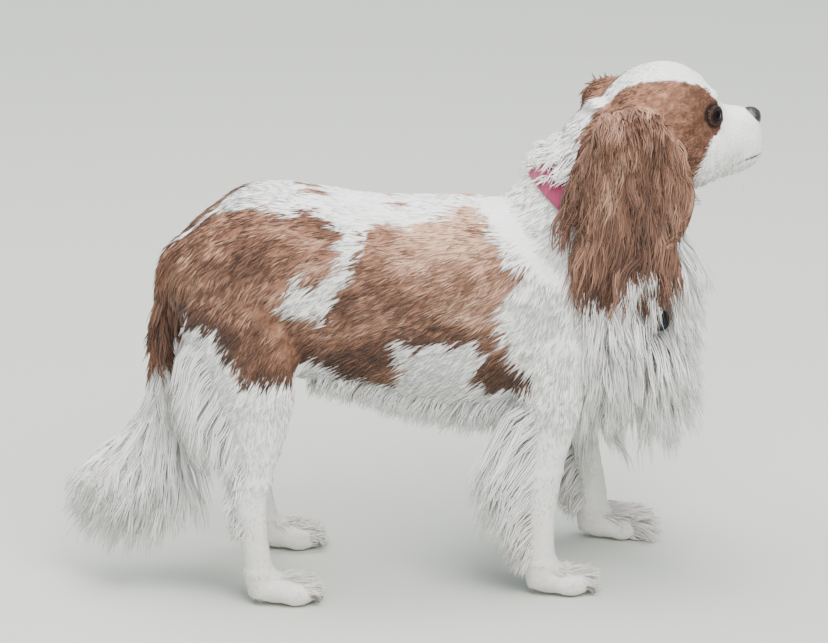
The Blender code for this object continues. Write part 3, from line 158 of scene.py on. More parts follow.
# Rounded masses on the head: middle, then radii, mirrored to the other side
HEAD_MASSES = {
    "cheek": ((0.0120, 0.0290, -0.0200), (0.032, 0.0180, 0.026)),
    "brow": ((0.0230, 0.0190, 0.0230), (0.017, 0.0140, 0.012)),
    "flank": ((0.0380, 0.0170, -0.0200), (0.026, 0.0140, 0.022)),
    "lip": ((0.0575, 0.0110, -0.0210), (0.0195, 0.0135, 0.0200)),
}
EAR_BASE = ((-0.0360, 0.0360, 0.0220), (0.024, 0.0120, 0.014))
# Where the ear leaves the head, in the head's frame, and the way that face looks
EAR_CUT = (Vector((-0.0360, 0.0430, 0.0270)), Vector((0.0, 0.90, 0.44)))
# The ear as it hangs from there: forward, outward, up, half length, half thickness
EAR = [
    (0.0000, 0.0000, 0.0000, 0.0190, 0.0040),
    (0.0000, 0.0070, 0.0020, 0.0240, 0.0040),
    (0.0000, 0.0125, -0.0020, 0.0290, 0.0042),
    (0.0000, 0.0150, -0.0110, 0.0340, 0.0055),
    (-0.0010, 0.0145, -0.0260, 0.0390, 0.0075),
    (-0.0020, 0.0130, -0.0470, 0.0440, 0.0080),
    (-0.0020, 0.0120, -0.0730, 0.0440, 0.0070),
    (0.0000, 0.0125, -0.0950, 0.0370, 0.0060),
    (0.0010, 0.0130, -0.1120, 0.0220, 0.0045),
]
# How far the ear's edges curl in towards the head, against its half length, and how far down it starts
EAR_CUP = 0.20
EAR_CURL_SPAN = 0.045
# How far out the ear folds over, and the corners of each of its sections
EAR_FOLD = 0.012
EAR_SIDES = 12
# The right ear lies back over the neck and the left one hangs further forward: sway, lift and breadth
EAR_HANG = {"right": (-0.0040, 0.0, 1.12), "left": (0.0140, -0.0140, 0.88)}
# The tail down to its split, then the end of its bone, and the dense hair under that
TAIL = [
    (-0.1650, 0.000, 0.2840, 0.020, 0.018, 0.024),
    (-0.1850, 0.000, 0.2770, 0.018, 0.015, 0.017),
    (-0.1980, 0.000, 0.2620, 0.014, 0.011, 0.011),
    (-0.2020, 0.000, 0.2400, 0.011, 0.008, 0.008),
    (-0.2025, 0.000, 0.2100, 0.010, 0.007, 0.008),
    (-0.2030, 0.000, 0.1850, 0.010, 0.007, 0.008),
    (-0.2040, 0.000, 0.1660, 0.010, 0.007, 0.008),
]
TAIL_END = [
    (-0.2030, 0.000, 0.1850, 0.0090, 0.0062, 0.0072),
    (-0.2070, 0.000, 0.1560, 0.0095, 0.0090, 0.0080),
    (-0.2190, 0.000, 0.1330, 0.0100, 0.0120, 0.0080),
    (-0.2380, 0.000, 0.1160, 0.0090, 0.0120, 0.0070),
    (-0.2540, 0.000, 0.1060, 0.0070, 0.0080, 0.0060),
]
TAIL_PLUME = [
    (-0.1840, 0.000, 0.1120, 0.0160, 0.0050),
    (-0.1930, 0.000, 0.1160, 0.0280, 0.0085),
    (-0.2050, 0.000, 0.1160, 0.0330, 0.0110),
    (-0.2200, 0.000, 0.1060, 0.0300, 0.0110),
    (-0.2380, 0.000, 0.0960, 0.0230, 0.0095),
    (-0.2520, 0.000, 0.0920, 0.0140, 0.0060),
]
def object_of(name, mesh):
    obj = bpy.data.objects.new(name, mesh)
    bpy.context.scene.collection.objects.link(obj)
    return obj


def interpolated(stations, per_span=3):
    """Stations along a smooth curve through the given ones."""
    rows = np.array(stations, float)
    padded = np.vstack([2 * rows[0] - rows[1], rows, 2 * rows[-1] - rows[-2]])
    made = []
    for i in range(1, len(padded) - 2):
        a, b, c, d = padded[i - 1 : i + 3]
        for step in range(per_span):
            t = step / per_span
            square, cube = 2 * a - 5 * b + 4 * c - d, 3 * b - a - 3 * c + d
            made.append(0.5 * (2 * b + (c - a) * t + square * t**2 + cube * t**3))
    made.append(padded[-2])
    return made


def egg(centre, across, upward, half_width, above, below, sides, squareness=2.0):
    """The points of one egg-shaped cross-section."""
    points = []
    for i in range(sides):
        angle = 2 * math.pi * i / sides
        c, s = math.cos(angle), math.sin(angle)
        wide = half_width * math.copysign(abs(c) ** (2 / squareness), c)
        high = (above if s > 0 else below) * math.copysign(abs(s) ** (2 / squareness), s)
        points.append(centre + across * wide + upward * high)
    return points


def loft(name, rings):
    """One closed body through rings of points, with a flat face at each end."""
    mesh = bmesh.new()
    rows = [[mesh.verts.new(p) for p in ring] for ring in rings]
    sides = len(rows[0])
    for low, high in zip(rows, rows[1:]):
        for i in range(sides):
            j = (i + 1) % sides
            mesh.faces.new((low[i], low[j], high[j], high[i]))
    mesh.faces.new(rows[0])
    mesh.faces.new(rows[-1])
    bmesh.ops.recalc_face_normals(mesh, faces=mesh.faces)
    data = bpy.data.meshes.new(name)
    mesh.to_mesh(data)
    mesh.free()
    return object_of(name, data)


def trunk(name, stations, widest, sides=28, squareness=2.2):
    """A body along x from stations of x, top, bottom and half width."""
    rings = []
    for x, top, bottom, half in interpolated(stations):
        middle = bottom + (top - bottom) * widest
        centre = Vector((x, 0, middle))
        across, upward = Vector((0, 1, 0)), Vector((0, 0, 1))
        rings.append(egg(centre, across, upward, half, top - middle, middle - bottom, sides, squareness))
    return loft(name, rings)


def tube(name, stations, sides=20, per_span=3):
    """A body along stations of x, y, z, half width, half depth ahead and half depth behind."""
    rows = interpolated(stations, per_span)
    places = [Vector(row[:3]) for row in rows]
    rings = []
    for i, row in enumerate(rows):
        along = (places[min(i + 1, len(rows) - 1)] - places[max(i - 1, 0)]).normalized()
        ahead = along.cross(Vector((0, 1, 0))).normalized()
        across = ahead.cross(along).normalized()
        rings.append(egg(places[i], across, ahead, *row[3:6], sides))
    return loft(name, rings)


def ellipsoid(name, centre, radii, rings=12):
    mesh = bmesh.new()
    bmesh.ops.create_uvsphere(mesh, u_segments=2 * rings, v_segments=rings, radius=1.0)
    bmesh.ops.scale(mesh, vec=radii, verts=mesh.verts)
    bmesh.ops.translate(mesh, vec=centre, verts=mesh.verts)
    data = bpy.data.meshes.new(name)
    mesh.to_mesh(data)
    mesh.free()
    return object_of(name, data)


def head_matrix():
    yaw = Matrix.Rotation(math.radians(HEAD_YAW), 4, "Z")
    pitch = Matrix.Rotation(math.radians(HEAD_PITCH), 4, "Y")
    return Matrix.Translation(HEAD_PLACE) @ (yaw @ pitch)


def sided(point, side):
    """A point of the head's left side, on the side asked for: 1 is left and -1 is right."""
    return Vector((point[0], point[1] * side, point[2]))


def apply_modifiers(obj):
    graph = bpy.context.evaluated_depsgraph_get()
    graph.update()
    data = bpy.data.meshes.new_from_object(obj.evaluated_get(graph))
    obj.modifiers.clear()
    obj.data = data
    return obj


def drop(objects):
    for obj in objects:
        bpy.data.objects.remove(obj)


def joined(name, objects):
    """The objects' meshes in one mesh, in world space, still as separate shells."""
    mesh = bmesh.new()
    for obj in objects:
        before = set(mesh.verts)
        mesh.from_mesh(obj.data)
        fresh = [v for v in mesh.verts if v not in before]
        bmesh.ops.transform(mesh, matrix=obj.matrix_world, verts=fresh)
    data = bpy.data.meshes.new(name)
    mesh.to_mesh(data)
    mesh.free()
    drop(objects)
    return object_of(name, data)


def head_pieces():
    matrix = head_matrix()
    made = [
        trunk("skull", SKULL, HEAD_WIDEST, squareness=2.3),
        trunk("muzzle", MUZZLE, 0.5, squareness=2.6),
    ]
    for side in (1, -1):
        for name, (centre, radii) in HEAD_MASSES.items():
            made.append(ellipsoid(name, sided(centre, side), radii))
        made.append(ellipsoid("ear_base", sided(EAR_BASE[0], side), EAR_BASE[1]))
    for obj in made:
        obj.data.transform(matrix)
    return made


def paw_pieces(place, side, forward=0.0):
    """A paw of four toes and a pad, with its heel under the leg."""
    made = []
    middle = Vector((place.x + forward, place.y * -side, 0.0))
    made.append(ellipsoid("pad", middle + Vector((-0.008, 0, 0.0120)), (0.021, 0.0165, 0.0135)))
    for i in (-1.5, -0.5, 0.5, 1.5):
        ahead = 0.012 - 0.0035 * abs(i)
        toe = middle + Vector((ahead, i * TOE_SPREAD, 0.0095))
        made.append(ellipsoid("toe", toe, (0.0155, 0.0062, 0.0105)))
    return made


def flesh(more=()):
    """The whole flesh of the dog, its head, neck, torso, legs and paws, as one smooth mesh."""
    pieces = [
        trunk("trunk", TORSO, TORSO_WIDEST),
        tube("neck", NECK, sides=28),
        tube("frill", CHEST_FRILL, sides=24),
        tube("tail", TAIL),
    ]
    pieces += head_pieces()
    pieces += more
    for side, fore_step, hind_step in ((-1, 0.0, 0.0), (1, FORE_STEP, HIND_STEP)):
        for stations, step, paw in ((FORE_LEG, fore_step, FORE_PAW), (HIND_LEG, hind_step, HIND_PAW)):
            leg = [tuple(row) for row in stations]
            top = leg[0][2]
            # The step grows from nothing at the top of the leg to its full length at the paw
            leg = [
                (x + step * min(1.0, STEP_EASE * (top - z) / top), y * -side, z, *sizes)
                for x, y, z, *sizes in leg
            ]
            pieces.append(tube("leg", leg))
            pieces += paw_pieces(paw, side, step)
    whole = joined("flesh", pieces)
    remesh = whole.modifiers.new("remesh", "REMESH")
    remesh.mode = "VOXEL"
    remesh.voxel_size = VOXEL
    apply_modifiers(whole)
    smooth = whole.modifiers.new("smooth", "SMOOTH")
    smooth.factor = 0.5
    smooth.iterations = SMOOTH_STEPS
    return apply_modifiers(whole)


def ear_body(name, word):
    """One ear as it hangs: a folded flap with its hair, from the face on the head to its tip."""
    side = SIDES[word]
    root = head_matrix() @ sided(EAR_CUT[0], side)
    facing = (head_matrix().to_3x3() @ sided(EAR_CUT[1], side)).normalized()
    sway, lift, breadth = EAR_HANG[word]
    rows = interpolated(EAR, 2)
    places = []
    for forward, outward, up, *_ in rows:
        swung = min(1.0, outward / EAR_FOLD)
        places.append(root + Vector((forward + sway * swung, outward * side, up + lift * swung)))
    rings = []
    for i, row in enumerate(rows):
        along = (places[min(i + 1, len(rows) - 1)] - places[max(i - 1, 0)]).normalized()
        centre = places[i]
        if i == 0:
            along = facing
            centre = centre + facing * GAP
        fore = (Vector((1, 0, 0)) - along * along.x).normalized()
        outward = fore.cross(along).normalized()
        half = row[3] * breadth
        ring = egg(centre, fore, outward, half, row[4], row[4] * 0.5, EAR_SIDES)
        curl = min(1.0, max(0.0, -row[2]) / EAR_CURL_SPAN) * EAR_CUP * half
        ring = [point - outward * curl * ((point - centre).dot(fore) / half) ** 2 for point in ring]
        rings.append(ring)
    return loft(name, rings)


def plume_body(name):
    rings = []
    for x, y, z, half_height, half_width in interpolated(TAIL_PLUME):
        across, upward = Vector((0, 1, 0)), Vector((0, 0, 1))
        rings.append(egg(Vector((x, y, z)), across, upward, half_width, half_height, half_height, 16))
    return loft(name, rings)


def tree_of(objects):
    """One search tree over the objects' surfaces, for finding the nearest skin."""
    points, faces = [], []
    for obj in objects:
        base = len(points)
        points += [obj.matrix_world @ v.co for v in obj.data.vertices]
        faces += [tuple(base + i for i in polygon.vertices) for polygon in obj.data.polygons]
    return BVHTree.FromPolygons(points, faces)


RNG = np.random.default_rng(20)


def put_size():
    """Brings the view layer up to date."""
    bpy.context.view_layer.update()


def srgb(red, green, blue):
    """A colour given as 0-255 display values, in linear light."""
    values = np.array([red, green, blue]) / 255
    return np.where(values <= 0.04045, values / 12.92, ((values + 0.055) / 1.055) ** 2.4)


def unit(rows):
    return rows / np.maximum(np.linalg.norm(rows, axis=-1, keepdims=True), 1e-9)


# The coat's colours, in linear light
WHITE = srgb(247, 245, 243)
# A greyer, warmer white, for painted shade low on the body
LOW_SHADE_TINT = srgb(220, 213, 200)
CHESTNUT = (srgb(210, 170, 144), srgb(150, 107, 84), srgb(86, 57, 43))

# The middle of the barrel, and millimetres round it to a degree
BARREL_AXIS = 0.235
BARREL_STEP = 1.31
HEAD_STEP = 0.70

# Chestnut patches on the body: millimetres along x and degrees round from the spine
PATCHES = [
    [
        (-216, 0), (-196, 0), (-183, 5), (-171, 2), (-159, 3), (-140, 12), (-123, 18), (-113, 23),
        (-101, 23), (-93, 19), (-81, 19), (-70, 24), (-60, 29), (-58, 36), (-58, 41), (-62, 47),
        (-68, 55), (-80, 60), (-93, 56), (-102, 60), (-105, 69), (-100, 77), (-86, 80), (-68, 76),
        (-66, 128), (-88, 126), (-100, 131), (-108, 128), (-116, 122), (-136, 122), (-144, 119),
        (-155, 106), (-163, 93), (-174, 87), (-190, 84), (-216, 80),
    ],
    [
        (-73, 72), (-61, 62), (-50, 45), (-43, 37), (-34, 27), (-18, 20), (-6, 25), (6, 25), (18, 20),
        (30, 16), (43, 10), (51, 9), (57, 17), (64, 35), (73, 42), (79, 53), (82, 67), (81, 72),
        (70, 73), (66, 80), (68, 90), (72, 105), (79, 116), (87, 121), (91, 126), (90, 131), (83, 134),
        (72, 142), (60, 138), (48, 133), (51, 111), (45, 103), (34, 102), (15, 103), (7, 108),
        (-5, 107), (-12, 100), (-17, 105), (-9, 115), (-4, 123), (-12, 138), (-27, 143), (-43, 147),
        (-55, 137), (-74, 127),
    ],
]
# Small spots on the spine: x, degrees, half length and half height in millimetres
SPOTS = [(-74, 5, 13, 5), (-9, 8, 7, 4)]
# The brown side of the face, in the head's own frame: millimetres along x and degrees round from its crown
FACE = [
    (-74, 60), (-66, 40), (-56, 26), (-50, 18), (-38, 15), (-21, 22), (-2, 28), (14, 29), (23, 30),
    (29, 32), (33, 42), (38, 50), (41, 64), (41, 78), (36, 90), (25, 100), (17, 111), (13, 124),
    (0, 131), (-20, 128), (-40, 122), (-60, 104), (-74, 84),
]

# A faint mole on the right lip, in the head's own frame
MOLE = np.array([0.0455, -0.0220, -0.0090])

# The coat's depth over the skin, in metres
BODY_COAT = 0.0030
HEAD_COAT = 0.0018
MUZZLE_COAT = 0.0010
LEG_COAT = 0.0022
PAW_COAT = 0.0012
# How near an eye, and how far forward on the muzzle, the skin gets finer faces
EYE_FINER = 0.021
MUZZLE_FINER = 0.036
# How deep a root sits in the skin, and how far single strands stray at their tips
ROOT_SINK = 0.0008
FLYAWAY = 0.0021
# The patch of the unwrap that one tuft takes, and the most triangles in a piece of coat
PATCH = 0.003
PIECE_LIMIT = 190000
# Painted shade along a tuft: how dark it is at its root, where the coat shades it, and what it gains to its
# tip
ROOT_SHADE_TONE = 0.84
SHADE_FADE_TO_TIP = 0.18
# How much single hairs differ: brown in depth, white in brightness
BROWN_SPREAD = 0.11
WHITE_SPREAD = 0.035
# The ear's short hair: length in metres and lift in degrees
EAR_SHORT = 0.016
EAR_LIFT = 16.0

# Tufts to the square metre
BODY_DENSITY = 165000.0
HEAD_DENSITY = 370000.0
FACE_DENSITY = 640000.0
LEG_DENSITY = 280000.0
LONG_DENSITY = 205000.0
EAR_DENSITY = 325000.0
TAIL_DENSITY = 360000.0
PAW_DENSITY = 520000.0
# The height under which hair is a paw's, the guides' share of strands, and how much short fur is left
# under long hair
PAW_TOP = 0.028
GUIDE_SHARE = 0.09
UNDERCOAT = 0.30

# Long strands: joints in each, and how far those of one lock draw together at its tip
STRAND_STEPS = 5
GATHER = 0.52

# Stray strands past these sideways places lie closer, to keep the dressed dog within its box's allowance
LEFT_REACH = 0.0865
RIGHT_REACH = -0.0865
STRAY_PULL = 0.65
# The shortest strand of long hair, and how far every hair stays over the floor
SHORTEST_STRAND = 0.008
FLOOR_ROOM = 0.0012

# How far hair keeps off the nose's middle and the tag, and the places (x, z) where the collar shows
NOSE_ROOM = 0.0105
TAG_ROOM = 0.0125
COLLAR_SHOWS = [(0.114, 0.298), (0.115, 0.306)]
COLLAR_ROOM = 0.0085
BESIDE_NECK = 0.07

# The comb, in the head's own frame: place, the coat's lie, its length in millimetres and lift in degrees
HEAD_COMB = [
    (0.062, 0.000, 0.002, -1.0, 0.0, 0.15, 3.6, 18),
    (0.062, 0.017, -0.010, -0.9, 0.2, -0.35, 4.2, 22),
    (0.055, 0.000, -0.034, -1.0, 0.0, -0.2, 5.2, 24),
    (0.040, 0.022, -0.028, -0.8, 0.1, -0.6, 6.5, 24),
    (0.040, 0.000, 0.012, -0.75, 0.0, 0.65, 4.2, 16),
    (0.030, 0.034, -0.004, -0.85, 0.2, -0.4, 5.0, 18),
    (0.026, 0.022, 0.026, -0.7, 0.15, 0.7, 5.0, 16),
    (0.000, 0.047, -0.010, -0.9, 0.1, -0.4, 8.0, 12),
    (0.018, 0.000, 0.038, -0.75, 0.0, 0.65, 5.5, 9),
    (-0.020, 0.000, 0.047, -1.0, 0.0, 0.1, 7.5, 10),
    (0.000, 0.035, 0.030, -0.95, 0.2, -0.1, 6.5, 10),
    (-0.060, 0.000, 0.025, -0.7, 0.0, -0.7, 11.0, 12),
    (-0.005, 0.030, -0.040, -0.7, 0.0, -0.7, 11.0, 14),
    (0.000, 0.000, -0.047, -0.6, 0.0, -0.8, 12.0, 16),
]
# The comb over the rest, in the dog's frame
BODY_COMB = [
    (0.128, 0.000, 0.394, -0.62, 0.0, -0.78, 13, 12),
    (0.150, 0.050, 0.340, -0.35, 0.0, -0.94, 18, 14),
    (0.200, 0.000, 0.310, 0.10, 0.0, -1.0, 24, 20),
    (0.090, 0.000, 0.345, -0.9, 0.0, -0.45, 14, 11),
    (0.050, 0.000, 0.322, -1.0, 0.0, -0.05, 13, 9),
    (-0.020, 0.000, 0.327, -1.0, 0.0, 0.0, 13, 9),
    (-0.080, 0.000, 0.337, -1.0, 0.0, 0.0, 13, 9),
    (-0.150, 0.000, 0.325, -0.8, 0.0, -0.55, 13, 10),
    (-0.205, 0.000, 0.270, -0.2, 0.0, -1.0, 14, 12),
    (0.060, 0.075, 0.240, -0.9, 0.05, -0.42, 17, 11),
    (-0.020, 0.075, 0.240, -0.93, 0.0, -0.38, 17, 11),
    (-0.090, 0.070, 0.230, -0.85, 0.0, -0.5, 16, 11),
    (-0.130, 0.075, 0.200, -0.55, 0.0, -0.83, 14, 11),
    (-0.170, 0.060, 0.250, -0.6, 0.0, -0.8, 15, 11),
    (0.110, 0.065, 0.250, -0.45, 0.0, -0.9, 17, 12),
    (0.120, 0.070, 0.190, -0.35, 0.0, -0.94, 15, 12),
    (0.210, 0.000, 0.200, 0.10, 0.0, -1.0, 26, 18),
    (0.160, 0.000, 0.130, -0.6, 0.0, -0.8, 20, 18),
    (0.030, 0.000, 0.140, -0.8, 0.0, -0.6, 18, 20),
    (-0.060, 0.000, 0.155, -0.8, 0.0, -0.6, 14, 18),
    (0.030, 0.065, 0.170, -0.8, 0.0, -0.6, 18, 14),
    (0.100, 0.060, 0.120, -0.12, 0.0, -1.0, 8, 12),
    (0.100, 0.058, 0.050, 0.0, 0.0, -1.0, 6, 12),
    (-0.120, 0.060, 0.140, -0.25, 0.0, -0.97, 10, 12),
    (-0.155, 0.058, 0.080, 0.05, 0.0, -1.0, 7, 12),
    (-0.140, 0.058, 0.040, 0.15, 0.0, -1.0, 6, 12),
    (0.125, 0.058, 0.015, 0.85, 0.0, -0.5, 5, 12),
    (-0.100, 0.058, 0.015, 0.85, 0.0, -0.5, 5, 12),
    (-0.205, 0.000, 0.250, -0.15, 0.0, -1.0, 16, 14),
    (-0.207, 0.000, 0.200, 0.0, 0.0, -1.0, 22, 16),
    (-0.215, 0.000, 0.140, -0.3, 0.0, -0.95, 26, 18),
    (-0.240, 0.000, 0.110, -0.8, 0.0, -0.6, 26, 18),
]

# The eye: where it looks, the pupil and iris in degrees, and the lid's rim
GAZE = Vector((0.74, 0.66, 0.06))
PUPIL = 24.0
IRIS = 58.0
RIM_WIRE = 0.0009
# The skin inside a lid's opening lies this far under the eye's surface, and rises this much onto the lid
LID_SINK = 0.0025
LID_RISE = 0.0037
LID_RIM = 0.0009
LID_CREASE = 0.0011
# The groove between the lips, its half width, and the swell beside it
LIP_GROOVE = 0.0016
LIP_GROOVE_WIDTH = 0.0013
LIP_SWELL = 0.0006
# The nose: nostrils as place, size and depth, and the split down its middle
NOSTRILS = [(0.0066, 0.0040, 0.0006, 0.0018, 0.0034), (0.0052, 0.0062, -0.0012, 0.0014, 0.0024)]
NOSE_SPLIT = 0.0011

# A claw: where its root lies ahead of the paw's middle, its line and its thickness, in metres
CLAW_FRONT = 0.0245
CLAW_LINE = (
    (-0.003, 0, 0.0005),
    (0, 0, 0.0005),
    (0.0030, 0, -0.0008),
    (0.0052, 0, -0.0034),
    (0.0060, 0, -0.0056),
)
CLAW_RADII = (0.0017, 0.0017, 0.0014, 0.0009, 0.0004)

# The studio: lamps as place, size and power, then the sky and the camera
LAMPS = [
    ("key", (0.6, -1.6, 2.6), 1.8, 125.0),
    ("top", (-0.4, 0.3, 3.0), 2.4, 165.0),
    ("fill", (0.2, -2.8, 1.0), 2.2, 30.0),
]
SKY = srgb(205, 216, 235)
SKY_POWER = 0.80
LENS = 216.5
CAMERA_AZIMUTH = -5.0
CAMERA_RISE = 20.0
CAMERA_FAR = 4.0
CAMERA_AIM = Vector((0.0, 0.0, 0.215))

# The half widths of the eye's opening on the ball, in degrees: sideways, up and down
LID_ANGLES = (39.0, 30.0, 27.0)


def ripple(points, scale, seed):
    """Smooth noise between -1 and 1, as a sum of waves about `scale` metres long."""
    rng = np.random.default_rng(seed)
    total = np.zeros(len(points))
    for _ in range(7):
        way = unit(rng.normal(size=3))
        tight = 2 * math.pi / (scale * rng.uniform(0.7, 1.5))
        total += np.sin(points @ way * tight + rng.uniform(0, 6.28))
    return total / 2.6


def polygon_depth(points, corners):
    """How far inside a polygon each point is; outside is negative."""
    corners = np.asarray(corners, float)
    inside = np.zeros(len(points), bool)
    near = np.full(len(points), 1e9)
    for a, b in zip(corners, np.roll(corners, -1, axis=0)):
        edge = b - a
        t = np.clip(((points - a) @ edge) / (edge @ edge + 1e-12), 0, 1)
        near = np.minimum(near, np.linalg.norm(points - (a + t[:, None] * edge), axis=1))
        crosses = (a[1] > points[:, 1]) != (b[1] > points[:, 1])
        with np.errstate(divide="ignore", invalid="ignore"):
            at = a[0] + (points[:, 1] - a[1]) * edge[0] / edge[1]
        inside ^= crosses & (points[:, 0] < at)
    return np.where(inside, near, -near)


def soft(value, low, high):
    t = np.clip((value - low) / (high - low), 0, 1)
    return t * t * (3 - 2 * t)


def in_head(points):
    back = np.array(head_matrix().inverted())
    return points @ back[:3, :3].T + back[:3, 3]


def body_place(points):
    """Length along the body and the way round it from the spine, both in millimetres."""
    turn = np.degrees(np.arctan2(np.abs(points[:, 1]), points[:, 2] - BARREL_AXIS))
    return np.stack([points[:, 0] * 1000, turn * BARREL_STEP], axis=1)


def brown_of(points, ear):
    """How brown the coat is at each place, from 0 (white) to 1, in the dog's own frame."""
    place = body_place(points)
    wobble = 2.2 * ripple(points, 0.010, 3) + 3.0 * ripple(points, 0.035, 4)
    far = points[:, 1] > 0
    shifted = place + np.where(far, -9.0, 0.0)[:, None] * np.array([1.0, -0.8])
    brown = np.zeros(len(points))
    for patch in PATCHES:
        corners = [(x, turn * BARREL_STEP) for x, turn in patch]
        brown = np.maximum(brown, soft(polygon_depth(shifted, corners) + wobble, -2.5, 3.5))
    for x, turn, half, high in SPOTS:
        gap = np.hypot((place[:, 0] - x) / half, (place[:, 1] - turn * BARREL_STEP) / high)
        brown = np.maximum(brown, 0.8 * soft(1.2 - gap + wobble * 0.06, 0, 0.6))
    rear = soft(-points[:, 0] * 1000 + wobble, 182, 190)
    rear = rear * soft(points[:, 2] * 1000 + wobble * 1.5, 186, 206)
    rear *= soft(330 - points[:, 2] * 1000, 20, 45)
    brown = np.maximum(brown, rear)
    body = soft(-points[:, 0] * 1000, -112, -100)
    brown = brown * np.where(points[:, 2] > 0.11, 1.0, 0.0) * body
    local = in_head(points)
    turn = np.degrees(np.arctan2(np.abs(local[:, 1]), local[:, 2]))
    head = np.stack([local[:, 0] * 1000, turn * HEAD_STEP], axis=1)
    face = polygon_depth(head, [(x, t * HEAD_STEP) for x, t in FACE])
    near_head = np.linalg.norm(local, axis=1) < 0.105
    face = soft(face + 0.8 * ripple(points, 0.008, 5) + 0.8 * ripple(points, 0.02, 6), -1.6, 1.8)
    brown = np.maximum(brown, face * near_head)
    return np.where(ear, 1.0, brown)


def coat_colour(points, ear, rng):
    """The coat's colour at each root: white or chestnut, with painted shade that makes both darker low down
    and painted light that makes the chestnut paler on top of the back.
    """
    brown = brown_of(points, ear)
    count = len(points)
    depth = 0.57 + 0.22 * ripple(points, 0.05, 8) + 0.18 * ripple(points, 0.014, 9)
    x, z = points[:, 0], points[:, 2]
    # Painted light: the chestnut is paler on top of the back, where light falls from above
    painted_top_light = np.exp(-(((x - 0.030) / 0.050) ** 2) - ((z - 0.300) / 0.040) ** 2)
    # Painted shade: the chestnut is darker low on the flanks and thighs
    low = soft(0.27 - z, 0.0, 0.10) * (x < 0.1)
    # Painted shade: a darker band behind the foreleg, where it meets the body
    shade_behind_foreleg = np.exp(-(((x - 0.080) / 0.018) ** 2)) * soft(0.25 - z, 0, 0.08)
    depth += 0.12 * soft(-x, 0.05, 0.09) - 0.62 * painted_top_light + 0.30 * low + 0.25 * shade_behind_foreleg
    local = in_head(points)
    # Painted shade: the ear's chestnut darkens towards its lower end
    ear_low_shade = soft(0.39 - z, 0.0, 0.14)
    depth = np.where(ear, 0.56 + 0.26 * ear_low_shade + 0.22 * ripple(points, 0.02, 11), depth)
    face = (np.linalg.norm(local, axis=1) < 0.095) & ~ear
    # Painted shade: the brown face darkens towards the eye and brow
    cheek = 0.66 + 0.34 * soft(local[:, 0] * 1000, -2, 22)
    depth = np.where(face, cheek + 0.12 * ripple(points, 0.01, 12), depth)
    depth = np.clip(depth + rng.normal(0, BROWN_SPREAD, count), 0, 1)[:, None]
    stops = np.array(CHESTNUT)
    brown_rgb = np.where(depth < 0.5, stops[0] + (stops[1] - stops[0]) * depth * 2,
                         stops[1] + (stops[2] - stops[1]) * (depth * 2 - 1))
    shade = rng.normal(0, 1, count)[:, None]
    white_rgb = WHITE * (1 + WHITE_SPREAD * shade)
    mole = np.linalg.norm(local - MOLE, axis=1)
    white_rgb = white_rgb * (1 - 0.45 * np.exp(-((mole / 0.0018) ** 2)))[:, None]
    # Painted shade: the white turns greyer and warmer low down on the belly and legs, with some random warm
    # tint over the coat
    low_shade_and_tint = soft(0.16 - z, 0.02, 0.13) * 0.5 + 0.10 * ripple(points, 0.03, 13)
    white_rgb = white_rgb * (1 + np.clip(low_shade_and_tint, 0, 1)[:, None] * (LOW_SHADE_TINT / WHITE - 1))
    pick = np.clip(brown + rng.normal(0, 0.10, count) * (brown > 0.02) * (brown < 0.98), 0, 1)
    pick = soft(pick, 0.3, 0.7)[:, None]
    return white_rgb * (1 - pick) + brown_rgb * pick


def mesh_arrays(obj):
    """Corner places, triangles, their loops, corner normals and areas of a mesh."""
    data = obj.data
    data.calc_loop_triangles()
    verts, normals = points_of(obj), normals_of(obj)
    tris = np.empty(len(data.loop_triangles) * 3, np.int64)
    data.loop_triangles.foreach_get("vertices", tris)
    tris = tris.reshape(-1, 3)
    loops = np.empty(len(data.loop_triangles) * 3, np.int64)
    data.loop_triangles.foreach_get("loops", loops)
    cross = np.cross(verts[tris[:, 1]] - verts[tris[:, 0]], verts[tris[:, 2]] - verts[tris[:, 0]])
    area = 0.5 * np.linalg.norm(cross, axis=1)
    return verts, tris, loops.reshape(-1, 3), normals, area


def scattered(arrays, uvs, density, rng):
    """Roots over a skin: place, normal and place on its unwrap, as many a square metre as density says."""
    verts, tris, loops, normals, area = arrays
    middle = verts[tris].mean(axis=1)
    facing = unit(normals[tris].mean(axis=1))
    wanted = area * density(middle, facing)
    counts = np.floor(wanted + rng.random(len(wanted))).astype(int)
    pick = np.repeat(np.arange(len(tris)), counts)
    a, b = rng.random(len(pick)), rng.random(len(pick))
    flip = a + b > 1
    a, b = np.where(flip, 1 - a, a), np.where(flip, 1 - b, b)
    weights = np.stack([1 - a - b, a, b], axis=1)[:, :, None]
    place = (verts[tris[pick]] * weights).sum(axis=1)
    normal = unit((normals[tris[pick]] * weights).sum(axis=1))
    uv = (uvs[loops[pick]] * weights).sum(axis=1)
    return place, normal, uv


def mesh_of(name, verts, tris, colours, uv, material):
    """A mesh of triangles with its colour and its place on the skin's unwrap at every corner."""
    data = bpy.data.meshes.new(name)
    data.vertices.add(len(verts))
    data.vertices.foreach_set("co", verts.astype(np.float32).ravel())
    data.loops.add(len(tris) * 3)
    data.loops.foreach_set("vertex_index", tris.astype(np.int32).ravel())
    data.polygons.add(len(tris))
    data.polygons.foreach_set("loop_start", np.arange(0, len(tris) * 3, 3, dtype=np.int32))
    data.polygons.foreach_set("use_smooth", np.ones(len(tris), bool))
    data.update(calc_edges=True)
    shade = data.color_attributes.new("coat", "FLOAT_COLOR", "POINT")
    solid = np.hstack([colours, np.ones((len(colours), 1))])
    shade.data.foreach_set("color", solid.astype(np.float32).ravel())
    layer = data.uv_layers.new(name="OFBake")
    layer.data.foreach_set("uv", uv[tris.ravel()].astype(np.float32).ravel())
    data.materials.append(material)
    return object_of(name, data)


